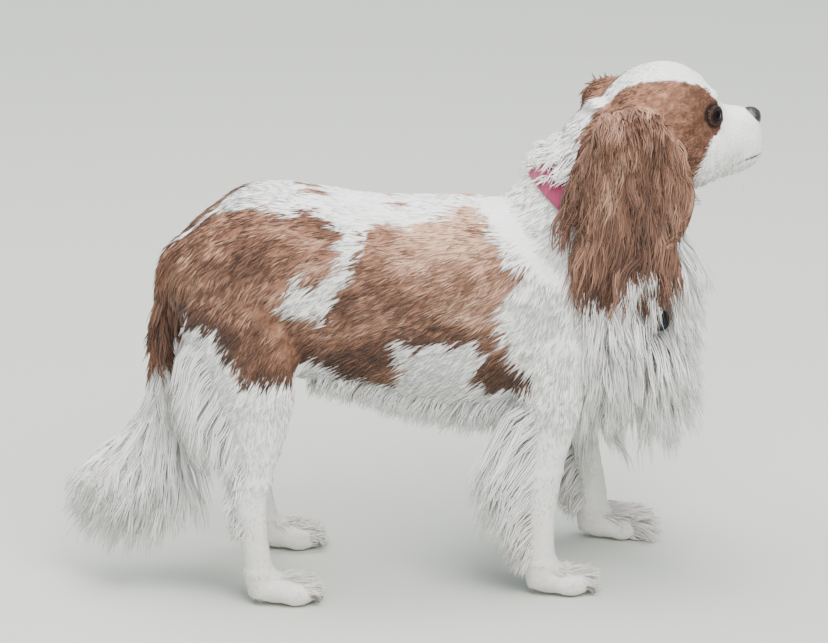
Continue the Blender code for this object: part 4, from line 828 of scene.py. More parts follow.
def blades(name, paths, outs, width, thick, colours, uv, material, slim=1.7):
    """Solid tufts along paths: three-cornered in section, widest near the root and closed to a point."""
    count, steps = paths.shape[0], paths.shape[1] - 1
    t = np.arange(steps) / steps
    profile = (0.70 + 0.30 * np.minimum(1, t / 0.3)) * (1 - t**slim)
    along = np.empty((count, steps, 3))
    along[:, 0] = paths[:, 1] - paths[:, 0]
    for k in range(1, steps):
        along[:, k] = paths[:, k + 1] - paths[:, k - 1]
    along = unit(along)
    side = unit(np.cross(along, outs[:, None, :]))
    over = np.cross(side, along)
    half = (width[:, None] * 0.5 * profile)[:, :, None]
    high = (thick[:, None] * (0.5 + 0.5 * profile))[:, :, None]
    base = paths[:, :-1]
    low, top = over * high * 0.3, over * high * 0.7
    ring = np.stack([base + side * half - low, base - side * half - low, base + top], axis=2)
    per = steps * 3 + 1
    verts = np.empty((count, per, 3))
    verts[:, :-1] = ring.reshape(count, steps * 3, 3)
    verts[:, -1] = paths[:, -1]
    tris = []
    for r in range(steps - 1):
        for k in range(3):
            a, b = 3 * r + k, 3 * r + (k + 1) % 3
            tris += [(a, b, b + 3), (a, b + 3, a + 3)]
    last = 3 * (steps - 1)
    tris += [(last + k, last + (k + 1) % 3, per - 1) for k in range(3)]
    tris.append((2, 1, 0))
    tris = np.array(tris)
    where = np.concatenate([np.repeat(t, 3), [1.0]])
    # Painted shade: each tuft is darker at its root and lighter towards its tip
    painted_root_shade = ROOT_SHADE_TONE + SHADE_FADE_TO_TIP * where
    shade = colours[:, None, :] * painted_root_shade[None, :, None]
    patch = np.stack([np.tile([0.0, 1.0, 0.5], steps + 1)[:per] * PATCH, where * PATCH], axis=1)
    uvs = uv[:, None, :] + patch[None]
    most = PIECE_LIMIT // len(tris)
    made = []
    for part, start in enumerate(range(0, count, most)):
        stop = min(count, start + most)
        n = stop - start
        faces = (tris[None] + (np.arange(n) * per)[:, None, None]).reshape(-1, 3)
        corners = verts[start:stop].reshape(-1, 3)
        tints = np.clip(shade[start:stop].reshape(-1, 3), 0, 1)
        spots = uvs[start:stop].reshape(-1, 2)
        piece = mesh_of(f"{name}_{part + 1}", corners, faces, tints, spots, material)
        made.append(piece)
    return made


def combed(points, normals, ear):
    """The way the coat lies, its length and its lift at each place, from the guides of the comb."""
    guides = []
    matrix = np.array(head_matrix())
    for x, y, z, dx, dy, dz, length, lift in HEAD_COMB:
        for side in (1, -1):
            place = matrix[:3, :3] @ (x, y * side, z) + matrix[:3, 3]
            guides.append((*place, *(matrix[:3, :3] @ (dx, dy * side, dz)), length, lift))
    for x, y, z, dx, dy, dz, length, lift in BODY_COMB:
        for side in (1, -1):
            step = 0.0
            if side > 0 and z < 0.17:
                reach = FORE_STEP if x > 0 else HIND_STEP
                step = reach * min(1.0, 1.25 * (0.26 - z) / 0.26)
            guides.append((x + step, y * side, z, dx, dy * side, dz, length, lift))
    guides = np.array(guides)
    lie = np.zeros((len(points), 3))
    length, lift, total = (np.zeros(len(points)) for _ in range(3))
    for row in guides:
        weight = 1 / (((points - row[:3]) ** 2).sum(axis=1) + 0.00004) ** 2
        lie += weight[:, None] * unit(row[3:6])
        length += weight * row[6]
        lift += weight * row[7]
        total += weight
    lie, length, lift = lie / total[:, None], length / total, lift / total
    down = np.array([0.0, 0.0, -1.0])
    fold = np.sign(in_head(points)[:, 1]) * soft(normals[:, 2], 0.1, 0.6)
    outward = fold[:, None] * np.array([0.0, 1.5, 0.0])
    lie = np.where(ear[:, None], down + outward, lie)
    length = np.where(ear, EAR_SHORT, length * 0.001)
    lift = np.where(ear, EAR_LIFT, lift)
    lie = lie - normals * (lie * normals).sum(axis=1, keepdims=True)
    return unit(lie), length, np.radians(lift)


def short_paths(place, normal, lie, length, lift, steps, rng):
    """Paths of short tufts that leave the skin at their lift and bow back towards it."""
    count = len(place)
    side = np.cross(lie, normal)
    drift = 0.16 * ripple(place, 0.012, 21) + rng.normal(0, 0.13, count)
    lie = unit(lie + side * drift[:, None])
    lift = lift * rng.uniform(0.45, 0.95, count)
    paths = np.empty((count, steps + 1, 3))
    paths[:, 0] = place - normal * ROOT_SINK
    way = lie * np.cos(lift)[:, None] + normal * np.sin(lift)[:, None]
    for k in range(steps):
        paths[:, k + 1] = paths[:, k] + way * (length / steps)[:, None]
        way = unit(way - normal * (np.sin(lift) * 0.75 / steps)[:, None] + np.array([0, 0, -0.05]))
    return paths


def hanging_paths(place, normal, lie, length, steps, manner, tree, rng):
    """Guides of long hair: they leave the skin, turn down, wave, and keep off the skin.

    Their manner is how fast they turn down, how much they wave, how far they keep off the skin, and how
    far they stand out from it at the root.
    """
    droop, wave, clear, stand = manner
    count = len(place)
    paths = np.empty((count, steps + 1, 3))
    paths[:, 0] = place - normal * ROOT_SINK
    way = unit(lie + normal * stand[:, None])
    phase = rng.uniform(0, 6.28, count) + 3.0 * ripple(place, 0.03, 31)
    turn = rng.uniform(1.3, 2.1, count)
    stride = (length / steps)[:, None]
    down = np.array([0.0, 0.0, -1.0])
    for k in range(steps):
        way = unit(way * (1 - droop) + down * droop)
        side = unit(np.cross(way, normal))
        step = unit(way + side * (wave * np.sin(phase + turn * k))[:, None]
                    + normal * (0.6 * wave * np.cos(phase + turn * k))[:, None])
        point = paths[:, k] + step * stride
        for i in range(count):
            hit, out, _, _ = tree.find_nearest(point[i])
            inward = (Vector(point[i]) - hit).dot(out)
            keep = clear[i] * min(1.0, (k + 1) / 2)
            if inward < keep:
                point[i] = hit + out * keep
        paths[:, k + 1] = point
    return paths


def clear_of(paths, spots):
    """Which strands keep away from each spot: a place in the dog's frame and how far to keep off it."""
    halves = np.concatenate([paths, (paths[:, 1:] + paths[:, :-1]) / 2], axis=1)
    keep = np.ones(len(paths), bool)
    for spot, room in spots:
        keep &= np.linalg.norm(halves - spot, axis=2).min(axis=1) > room
    return keep


def clumped(roots, guide_roots, guide_paths, gather, rng):
    """Each strand follows the nearest guide, and the strands of one guide draw together to its tip."""
    grid = kdtree.KDTree(len(guide_roots))
    for i, point in enumerate(guide_roots):
        grid.insert(point, i)
    grid.balance()
    nearest = np.array([grid.find(point)[1] for point in roots])
    steps = guide_paths.shape[1] - 1
    offset = roots - guide_roots[nearest]
    t = np.arange(steps + 1) / steps
    squeeze = 1 - gather * t**1.2
    paths = guide_paths[nearest] + offset[:, None, :] * squeeze[None, :, None]
    scale = rng.uniform(0.84, 1.06, len(roots))
    paths = paths[:, :1] + (paths - paths[:, :1]) * scale[:, None, None]
    fly = rng.normal(0, 1, (len(roots), 3)) * FLYAWAY
    return paths + fly[:, None, :] * (t**2)[None, :, None]


def principled(name, rough, sheen=0.0, coat=0.0, metal=0.0, specular=0.5):
    made = bpy.data.materials.new(name)
    made.use_nodes = True
    shader = made.node_tree.nodes["Principled BSDF"]
    shader.inputs["Roughness"].default_value = rough
    shader.inputs["Sheen Weight"].default_value = sheen
    shader.inputs["Coat Weight"].default_value = coat
    shader.inputs["Metallic"].default_value = metal
    shader.inputs["Specular IOR Level"].default_value = specular
    return made, made.node_tree, shader


def raised(tree, shader, pattern, strength, distance):
    """A pattern pressed into a finish as relief."""
    relief = tree.nodes.new("ShaderNodeBump")
    relief.inputs["Strength"].default_value = strength
    relief.inputs["Distance"].default_value = distance
    tree.links.new(pattern.outputs["Fac"], relief.inputs["Height"])
    tree.links.new(relief.outputs["Normal"], shader.inputs["Normal"])


def plain(name, colour, rough, **more):
    made, _, shader = principled(name, rough, **more)
    shader.inputs["Base Color"].default_value = (*colour, 1)
    return made


def painted(name, rough, bump=0.0, scale=400.0, **more):
    """A finish whose colour is the mesh's own, with a fine bump."""
    made, tree, shader = principled(name, rough, **more)
    nodes, links = tree.nodes, tree.links
    colour = nodes.new("ShaderNodeAttribute")
    colour.attribute_name = "coat"
    links.new(colour.outputs["Color"], shader.inputs["Base Color"])
    if bump:
        noise = nodes.new("ShaderNodeTexNoise")
        place = nodes.new("ShaderNodeTexCoord")
        links.new(place.outputs["Object"], noise.inputs["Vector"])
        noise.inputs["Scale"].default_value = scale
        noise.inputs["Detail"].default_value = 3.0
        raised(tree, shader, noise, bump, 0.001)
    return made


def webbing(name, light, dark):
    """Woven tape: fine ribs across."""
    made, tree, shader = principled(name, 0.75, sheen=0.3)
    nodes, links = tree.nodes, tree.links
    place = nodes.new("ShaderNodeTexCoord")
    wave = nodes.new("ShaderNodeTexWave")
    wave.inputs["Scale"].default_value = 320.0
    wave.inputs["Distortion"].default_value = 1.2
    links.new(place.outputs["Object"], wave.inputs["Vector"])
    # Painted shade: the wave that raises the ribs also colours them, so the grooves between ribs are darker
    ramp = nodes.new("ShaderNodeValToRGB")
    ramp.color_ramp.elements[0].color = (*dark, 1)
    ramp.color_ramp.elements[1].color = (*light, 1)
    links.new(wave.outputs["Fac"], ramp.inputs["Fac"])
    links.new(ramp.outputs["Color"], shader.inputs["Base Color"])
    raised(tree, shader, wave, 0.3, 0.0004)
    return made


def metal(name, colour, rough):
    made, tree, shader = principled(name, rough, metal=1.0)
    nodes, links = tree.nodes, tree.links
    place = nodes.new("ShaderNodeTexCoord")
    noise = nodes.new("ShaderNodeTexNoise")
    noise.inputs["Scale"].default_value = 700.0
    links.new(place.outputs["Object"], noise.inputs["Vector"])
    ramp = nodes.new("ShaderNodeMapRange")
    ramp.inputs["To Min"].default_value = rough * 0.8
    ramp.inputs["To Max"].default_value = rough * 1.4
    links.new(noise.outputs["Fac"], ramp.inputs["Value"])
    links.new(ramp.outputs["Result"], shader.inputs["Roughness"])
    shader.inputs["Base Color"].default_value = (*colour, 1)
    return made


def set_colours(obj, colours):
    shade = obj.data.color_attributes.new("coat", "FLOAT_COLOR", "POINT")
    solid = np.hstack([colours, np.ones((len(colours), 1))])
    shade.data.foreach_set("color", solid.astype(np.float32).ravel())


def points_of(obj):
    co = np.empty(len(obj.data.vertices) * 3)
    obj.data.vertices.foreach_get("co", co)
    return co.reshape(-1, 3)


def normals_of(obj):
    out = np.empty(len(obj.data.vertices) * 3)
    obj.data.vertices.foreach_get("normal", out)
    return out.reshape(-1, 3)


def put_points(obj, points):
    obj.data.vertices.foreach_set("co", points.astype(np.float32).ravel())
    obj.data.update()


def skin_of_dog():
    """The skin under the coat: flesh, ears and tail in one surface, drawn in by the coat's depth."""
    ears = [ear_body(f"ear_{word}", word) for word in SIDES]
    extra = [tube("bone", TAIL_END), plume_body("plume")]
    ear_tree = tree_of(ears)
    whole = flesh(ears + extra)
    points = points_of(whole)
    normals = normals_of(whole)
    local = in_head(points)
    reach = np.linalg.norm(local, axis=1)
    ear = np.array([ear_tree.find_nearest(Vector(p))[3] for p in points]) < 0.0035
    ear &= (np.abs(local[:, 1]) > 0.040) & (local[:, 2] < 0.038)
    depth = np.full(len(points), BODY_COAT)
    depth = np.where(reach < 0.10, HEAD_COAT, depth)
    depth = np.where(local[:, 0] > 0.03, MUZZLE_COAT, depth)
    depth = np.where(points[:, 2] < 0.11, LEG_COAT, depth)
    depth = np.where(points[:, 2] < 0.03, PAW_COAT, depth)
    depth = np.where(ear, MUZZLE_COAT, depth)
    put_points(whole, points - normals * depth[:, None])
    fine_face(whole)
    return whole


def fine_face(skin):
    """Finer faces over the eyes and mouth, lids raised round the eyes and a groove between the lips."""
    mesh = bmesh.new()
    mesh.from_mesh(skin.data)
    back = head_matrix().inverted()
    edges = []
    for edge in mesh.edges:
        local = back @ edge.verts[0].co
        near_eye = min((local - sided(EYE_PLACE, s)).length for s in (1, -1)) < EYE_FINER
        if near_eye or (local.x > MUZZLE_FINER and abs(local.y) < 0.05 and abs(local.z) < 0.05):
            edges.append(edge)
    bmesh.ops.subdivide_edges(mesh, edges=edges, cuts=1, smooth=0.0, use_grid_fill=True)
    bmesh.ops.triangulate(mesh, faces=[f for f in mesh.faces if len(f.verts) > 4])
    mesh.to_mesh(skin.data)
    mesh.free()
    points = points_of(skin)
    local = in_head(points)
    for side in (1, -1):
        centre = np.array(sided(EYE_PLACE, side))
        axis = np.array(sided(EYE_OUT, side).normalized())
        up = unit(np.array([0, 0, 1.0]) - axis * axis[2])
        fore = np.cross(up, axis) * -side
        gap = local - centre
        far = np.linalg.norm(gap, axis=1)
        near = far < EYE_RADIUS + 0.0085
        way = unit(gap)
        tilt = np.degrees(np.arccos(np.clip(way @ axis, -1, 1)))
        c, s = way @ fore, way @ up
        size = np.maximum(np.hypot(c, s), 1e-6)
        c, s = c / size, s / size
        opening = LID_ANGLES[0] * c**2 + np.where(s > 0, LID_ANGLES[1], LID_ANGLES[2]) * s**2
        lid = soft(tilt, opening - 3, opening + 6)
        wanted = (EYE_RADIUS - LID_SINK) + lid * LID_RISE
        rim = LID_RIM * np.exp(-(((tilt - opening - 9) / 8) ** 2))
        crease = -LID_CREASE * np.exp(-(((tilt - opening - 27) / 7) ** 2)) * (s > -0.2)
        blend = 1 - soft(tilt, opening + 8, opening + 34)
        target = far + (wanted - far) * blend + (rim + crease)
        front = near & (tilt < 115)
        local = np.where(front[:, None], centre + way * target[:, None], local)
    matrix = np.array(head_matrix())
    points = np.where((np.linalg.norm(local - in_head(points), axis=1) > 1e-7)[:, None],
                      local @ matrix[:3, :3].T + matrix[:3, 3], points)
    line = np.array(mouth_points(BVHTree.FromPolygons([Vector(p) for p in points],
                                                      [tuple(f.vertices) for f in skin.data.polygons])))
    near = np.linalg.norm(in_head(points) - [0.055, 0, -0.02], axis=1) < 0.06
    index = np.nonzero(near)[0]
    best = np.full(len(index), 1e9)
    for a, b in zip(line[:-1], line[1:]):
        edge = b - a
        t = np.clip(((points[index] - a) @ edge) / (edge @ edge), 0, 1)
        best = np.minimum(best, np.linalg.norm(points[index] - (a + t[:, None] * edge), axis=1))
    normals = normals_of(skin)[index]
    groove = LIP_GROOVE * np.exp(-((best / LIP_GROOVE_WIDTH) ** 2))
    swell = LIP_SWELL * np.exp(-(((best - 0.004) / 0.002) ** 2))
    points[index] -= normals * (groove - swell)[:, None]
    put_points(skin, points)


def mouth_points(tree):
    """Places along the line between the lips."""
    matrix = head_matrix()
    turned = matrix.to_3x3()
    centre = matrix @ Vector((MOUTH_CENTRE, 0, 0))
    points = []
    for i in range(MOUTH_STEPS * 2 + 1):
        turn = math.radians(MOUTH_SWEEP * (i / MOUTH_STEPS - 1))
        sides = abs(turn) / math.radians(MOUTH_SWEEP)
        height = MOUTH_HEIGHT + MOUTH_SAG * sides + MOUTH_PEAK * max(0.0, 1 - sides / MOUTH_PEAK_SPAN) ** 2
        way = turned @ Vector((math.cos(turn), math.sin(turn), 0))
        start = centre + turned @ Vector((0, 0, height)) + way * 0.12
        hit = tree.ray_cast(start, -way)[0]
        if hit is not None:
            points.append(hit)
    return points


def cord_along(name, points, radii, sides=8):
    """A thin closed tube along points."""
    rings = []
    for i, point in enumerate(points):
        along = (points[min(i + 1, len(points) - 1)] - points[max(i - 1, 0)]).normalized()
        across = along.cross(Vector((0, 0, 1)) if abs(along.z) < 0.9 else Vector((1, 0, 0))).normalized()
        rings.append(egg(point, across, across.cross(along), radii[i], radii[i], radii[i], sides))
    return loft(name, rings)


def eyeball(word, material):
    side = SIDES[word]
    matrix = head_matrix()
    centre = matrix @ sided(EYE_PLACE, side)
    ball = ellipsoid(f"eyeball_{word}", centre, (EYE_RADIUS,) * 3, rings=32)
    gaze = np.array(matrix.to_3x3() @ sided(GAZE, side).normalized())
    points = points_of(ball)
    way = unit(points - np.array(centre))
    tilt = np.degrees(np.arccos(np.clip(way @ gaze, -1, 1)))
    iris = 0.5 + 0.5 * ripple(way, 0.12, 41)
    colours = np.outer(1 - iris, srgb(20, 13, 10)) + np.outer(iris, srgb(38, 22, 15))
    colours = np.where((tilt < PUPIL)[:, None], srgb(8, 7, 7), colours)
    colours = np.where((tilt > IRIS)[:, None], srgb(20, 13, 11), colours)
    colours = np.where((tilt > IRIS + 16)[:, None], srgb(30, 21, 18), colours)
    bulge = 1 + 0.05 * np.exp(-((tilt / 38) ** 2))
    put_points(ball, np.array(centre) + way * (EYE_RADIUS * bulge)[:, None])
    set_colours(ball, colours)
    ball.data.shade_smooth()
    ball.data.materials.append(material)
    return ball


def lids(word, material):
    """The dark rims of both lids round one eye."""
    side = SIDES[word]
    matrix = head_matrix()
    centre = sided(EYE_PLACE, side)
    out = sided(EYE_OUT, side).normalized()
    up = (Vector((0, 0, 1)) - out * out.z).normalized()
    fore = up.cross(out) * -side
    mesh = bmesh.new()
    rows = []
    for i in range(64):
        angle = 2 * math.pi * i / 64
        c, s = math.cos(angle), math.sin(angle)
        upright = LID_ANGLES[1] if s > 0 else LID_ANGLES[2]
        opening = math.radians(LID_ANGLES[0] * c * c + upright * s * s) + 0.02
        way = (out * math.cos(opening) + (fore * c + up * s) * math.sin(opening)).normalized()
        away = (way * math.cos(opening) - out).normalized()
        middle = centre + way * (EYE_RADIUS + RIM_WIRE * 0.5)
        row = []
        for k in range(10):
            a = 2 * math.pi * k / 10
            gap = (way * math.cos(a) * 0.9 + away * math.sin(a) * 1.5) * RIM_WIRE
            row.append(mesh.verts.new(matrix @ (middle + gap)))
        rows.append(row)
    for i, row in enumerate(rows):
        after = rows[(i + 1) % 64]
        for k in range(10):
            m = (k + 1) % 10
            mesh.faces.new((row[k], row[m], after[m], after[k]))
    bmesh.ops.recalc_face_normals(mesh, faces=mesh.faces)
    data = bpy.data.meshes.new(f"lids_{word}")
    mesh.to_mesh(data)
    mesh.free()
    data.shade_smooth()
    data.materials.append(material)
    return object_of(f"lids_{word}", data)


def nose_leather(material):
    """The nose, with two nostrils that curl back at their sides and a groove down its middle."""
    matrix = head_matrix()
    nose = ellipsoid("nose_leather", Vector(), (1, 1, 1), rings=40)
    way = unit(points_of(nose))
    size = np.array(NOSE_RADII) * 1.04
    points = way * size
    pit = np.zeros(len(points))
    for side in (1, -1):
        for x, y, z, wide, deep in NOSTRILS:
            gap = (points - [x, y * side, z]) / wide
            pit = np.maximum(pit, deep * np.exp(-(gap**2).sum(axis=1)))
    split = NOSE_SPLIT * np.exp(-((points[:, 1] / 0.0006) ** 2)) * (points[:, 0] > 0)
    split = split * soft(0.002 - points[:, 2], 0, 0.004)
    points -= way * (pit + split)[:, None]
    points += way * (0.00012 * ripple(points, 0.0012, 51))[:, None]
    # Painted shade: the nose is darker in its nostrils' pits
    dark = np.clip(pit / 0.0030, 0, 1)[:, None]
    set_colours(nose, srgb(44, 41, 41) * (1 - dark) + srgb(10, 9, 9) * dark)
    matrix_rows = np.array(matrix)
    points = (points + np.array(NOSE_PLACE)) @ matrix_rows[:3, :3].T + matrix_rows[:3, 3]
    put_points(nose, points)
    nose.data.shade_smooth()
    nose.data.materials.append(material)
    return nose


def ear_surface():
    """A search tree of both ears' own surfaces."""
    ears = [ear_body(f"ear_{word}", word) for word in SIDES]
    tree = tree_of(ears)
    drop(ears)
    return tree


def unwrapped(skin):
    """The skin's own unwrap, and the place of each corner on it."""
    bpy.ops.object.select_all(action="DESELECT")
    bpy.context.view_layer.objects.active = skin
    skin.select_set(True)
    skin.data.uv_layers.new(name="OFBake")
    bpy.ops.object.mode_set(mode="EDIT")
    bpy.ops.mesh.select_all(action="SELECT")
    bpy.ops.uv.smart_project(angle_limit=math.radians(72), island_margin=0.002)
    bpy.ops.object.mode_set(mode="OBJECT")
    uvs = np.empty(len(skin.data.loops) * 2)
    skin.data.uv_layers["OFBake"].data.foreach_get("uv", uvs)
    return uvs.reshape(-1, 2)


def is_ear(points, tree):
    local = in_head(points)
    near = np.array([tree.find_nearest(Vector(p))[3] for p in points]) < 0.0045
    return near & (np.abs(local[:, 1]) > 0.037) & (local[:, 2] < 0.036)


def long_zone(points, normals, ear):
    """For each place: the length of long hair there in metres, or nothing where the coat is short."""
    x, y, z = points.T
    side = np.where(y > 0, 1.0, -1.0)
    length = np.zeros(len(points))
    fore_x = 0.078 + np.where(y > 0, FORE_STEP, 0) * np.minimum(1, 1.25 * (0.25 - z) / 0.25)
    behind_fore = (np.abs(x - fore_x) < 0.040) & (normals[:, 0] < -0.35)
    behind_fore &= (z < 0.165) & (z > 0.035) & (np.abs(y) > 0.022)
    length = np.where(behind_fore, 0.024 + 0.062 * soft(z, 0.03, 0.15), length)
    off_face = np.linalg.norm(in_head(points), axis=1) > 0.084
    nape = (x > 0.085) & (z > 0.345) & (z < 0.405) & off_face & ~ear
    length = np.where(nape, 0.020, length)
    chest = (x > 0.135) & (z < 0.350) & (z > 0.105)
    chest &= (normals[:, 0] > 0.10) & (np.abs(y) < 0.075) & off_face
    length = np.where(chest, 0.056, length)
    brisket = (x > 0.09) & (z < 0.145) & (z > 0.10) & (np.abs(y) < 0.045) & (normals[:, 2] < -0.3)
    length = np.where(brisket, 0.034, length)
    belly = (x > -0.075) & (x <= 0.09) & (normals[:, 2] < -0.72)
    belly &= (z > 0.12) & (z < 0.2) & (np.abs(y) < 0.06)
    length = np.where(belly, 0.022 + 0.014 * soft(x, -0.07, 0.08), length)
    breech = (x < -0.135) & (x > -0.2) & (normals[:, 0] < -0.45)
    breech &= (z < 0.225) & (z > 0.06) & (np.abs(y) > 0.012)
    length = np.where(breech, 0.012 + 0.052 * soft(z, 0.08, 0.2), length)
    tail = (x < -0.183) & (np.abs(y) < 0.022) & (z < 0.245)
    under = soft(x, -0.250, -0.205) * soft(0.20 - z, 0, 0.06)
    length = np.where(tail, 0.028 + 0.023 * soft(0.225 - z, 0, 0.08) + 0.022 * under, length)
    paw = (z < 0.024) & (normals[:, 0] > 0.25)
    length = np.where(paw, 0.013 + 0.011 * (side > 0) * (x > 0), length)
    length = np.where(ear, 0.034 + 0.036 * soft(0.395 - z, 0, 0.09), length)
    return length


def spots_to_show(collar):
    """The tag and the places of the collar that hair keeps off, each with its room."""
    low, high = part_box("tag")
    spots = [(np.array((low + high) / 2 - SHIFT), TAG_ROOM)]
    collar_tree = tree_of([collar])
    for x, z in COLLAR_SHOWS:
        for side in (1, -1):
            place = collar_tree.find_nearest(Vector((x, BESIDE_NECK * side, z)))[0]
            spots.append((np.array(place), COLLAR_ROOM))
    return spots


def short_fur(arrays, uvs, ear_tree, spots, material):
    """The short coat, combed along the body, thinner under long hair and left off the eyes and nose."""
    eyes = [np.array(head_matrix() @ sided(EYE_PLACE, s)) for s in (1, -1)]
    nose = np.array(head_matrix() @ NOSE_PLACE)

    def density_at(middle, facing):
        local = in_head(middle)
        reach = np.linalg.norm(local, axis=1)
        density = np.full(len(middle), BODY_DENSITY)
        density = np.where(reach < 0.10, HEAD_DENSITY, density)
        density = np.where(local[:, 0] > 0.022, FACE_DENSITY, density)
        density = np.where(middle[:, 2] < 0.10, LEG_DENSITY, density)
        for eye in eyes:
            density *= np.linalg.norm(middle - eye, axis=1) > EYE_RADIUS + 0.0009
        density *= np.linalg.norm(middle - nose, axis=1) > NOSE_ROOM
        density *= ~((middle[:, 2] < 0.003) & (facing[:, 2] < -0.5))
        covered = long_zone(middle, facing, is_ear(middle, ear_tree)) > 0
        return np.where(covered & (middle[:, 2] > PAW_TOP), density * UNDERCOAT, density)

    place, normal, uv = scattered(arrays, uvs, density_at, RNG)
    ear = is_ear(place, ear_tree)
    lie, length, lift = combed(place, normal, ear)
    near_eye = np.min([np.linalg.norm(place - eye, axis=1) for eye in eyes], axis=0)
    length *= 0.45 + 0.55 * soft(near_eye, EYE_RADIUS, EYE_RADIUS + 0.010)
    length *= RNG.uniform(0.75, 1.25, len(place))
    paths = short_paths(place, normal, lie, length, lift, 2, RNG)
    paths[:, 1:, 2] = np.maximum(paths[:, 1:, 2], FLOOR_ROOM)
    keep = clear_of(paths, spots)
    place, normal, uv, ear, length, paths = (a[keep] for a in (place, normal, uv, ear, length, paths))
    width = np.clip(length * 0.13, 0.0006, 0.0022) * RNG.uniform(0.8, 1.2, len(place))
    colours = coat_colour(place, ear, RNG)
    return blades("fur", paths, normal, width, width * 0.4, colours, uv, material)


def combed_guides(guide, normal, ear):
    """The way each guide of long hair sets off, and its manner: droop, wave, room and stand."""
    x, y, z = guide.T
    lie, _, _ = combed(guide, normal, ear)
    across = in_head(guide)[:, 0] + 0.036
    behind = (x > 0.03) & (x < 0.16) & (normal[:, 0] < -0.2) & (z < 0.17)
    breech = (x < -0.12) & (z < 0.225) & (np.abs(y) > 0.012)
    tail = (x < -0.183) & (np.abs(y) < 0.03)
    chest = x > 0.15
    paw = z < PAW_TOP
    fan = np.zeros((len(guide), 3))
    fan[:, 0] = np.where(ear, np.where(across < 0, across * 16.0, across * 13.0), 0)
    fan[:, 0] = np.where(behind & ~ear, -1.4, fan[:, 0])
    fan[:, 0] = np.where(breech & ~ear, -0.35, fan[:, 0])
    fan[:, 0] = np.where(tail, (x + 0.205) * 13.0 * soft(0.17 - z, 0, 0.05), fan[:, 0])
    fan[:, 1] = np.where(chest & ~ear, y * 6, 0)
    fan[:, 2] = np.where(paw, 0.5, 0)
    wave = np.where(ear, 0.28, np.where(paw, 0.08, 0.20))
    clear = 0.0022 + RNG.uniform(0, 1, len(guide)) * np.where(ear, 0.0025, 0.004)
    clear = np.where(paw, 0.0008, clear)
    droop = np.where(tail, 0.16, np.where(chest, 0.20, np.where(paw, 0.06, 0.24)))[:, None]
    stand = np.where(chest & ~ear, 1.3, np.where(ear | paw, 0.05, 0.30))
    return unit(lie + fan), (droop, wave, clear, stand)


def long_hair(arrays, uvs, ear_tree, body_tree, spots, material):
    """The long hair: strands in locks that follow guides on the ears, chest, belly, legs, tail and feet."""

    def density_at(middle, facing):
        ear_here = is_ear(middle, ear_tree)
        tail = (middle[:, 0] < -0.183) & (np.abs(middle[:, 1]) < 0.022)
        density = np.where(ear_here, EAR_DENSITY, LONG_DENSITY)
        density = np.where(tail, TAIL_DENSITY, density)
        density = np.where(middle[:, 2] < PAW_TOP, PAW_DENSITY, density)
        return np.where(long_zone(middle, facing, ear_here) > 0, density, 0)

    guide, normal, _ = scattered(arrays, uvs, lambda m, n: density_at(m, n) * GUIDE_SHARE, RNG)
    ear = is_ear(guide, ear_tree)
    length = long_zone(guide, normal, ear) * RNG.uniform(0.85, 1.1, len(guide))
    length = np.maximum(length, SHORTEST_STRAND)
    lie, manner = combed_guides(guide, normal, ear)
    guides = hanging_paths(guide, normal, lie, length, STRAND_STEPS, manner, body_tree, RNG)
    root, normal, uv = scattered(arrays, uvs, density_at, RNG)
    ear = is_ear(root, ear_tree)
    paths = clumped(root, guide, guides, GATHER, RNG)
    paths[:, :, 2] = np.maximum(paths[:, :, 2], FLOOR_ROOM)
    keep = clear_of(paths, spots)
    root, normal, uv, ear, paths = (a[keep] for a in (root, normal, uv, ear, paths))
    paths[:, :, 1] -= STRAY_PULL * np.maximum(paths[:, :, 1] - LEFT_REACH, 0)
    paths[:, :, 1] -= STRAY_PULL * np.minimum(paths[:, :, 1] - RIGHT_REACH, 0)
    colours = coat_colour(root, ear, RNG)
    width = np.where(root[:, 2] < PAW_TOP, 0.0010, 0.0014) * RNG.uniform(0.7, 1.3, len(root))
    return blades("feathers", paths, normal, width, width * 0.45, colours, uv, material, 2.6)


def grown_coat(skin, material):
    uvs = unwrapped(skin)
    arrays = mesh_arrays(skin)
    ear_tree = ear_surface()
    collar = frame_copy("collar")
    spots = spots_to_show(collar)
    made = short_fur(arrays, uvs, ear_tree, spots, material)
    return made + long_hair(arrays, uvs, ear_tree, tree_of([skin, collar]), spots, material)


def frame_copy(name):
    """A hidden-from-view copy of a solid's mesh, in the dog's own frame, for keeping hair off it."""
    made = object_of(f"{name}_guard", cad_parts[name].data.copy())
    made.data.transform(Matrix.Translation(-SHIFT))
    GUARDS.append(made)
    return made


def claws(material):
    """Four blunt curved claws at the front of each paw."""
    made = []
    for word, side in SIDES.items():
        for name, place, step in (("fore", FORE_PAW, FORE_STEP), ("hind", HIND_PAW, HIND_STEP)):
            for k, i in enumerate((-1.5, -0.5, 0.5, 1.5)):
                x = place[0] + (step if side > 0 else 0) + CLAW_FRONT - 0.0035 * abs(i)
                root = Vector((x, -place[1] * side + i * 0.0088, 0.0085))
                line = [root + Vector(gap) for gap in CLAW_LINE]
                claw = cord_along(f"claw_{name}_{word}_{k + 1}", line, CLAW_RADII)
                claw.data.shade_smooth()
                claw.data.materials.append(material)
                made.append(claw)
    return made


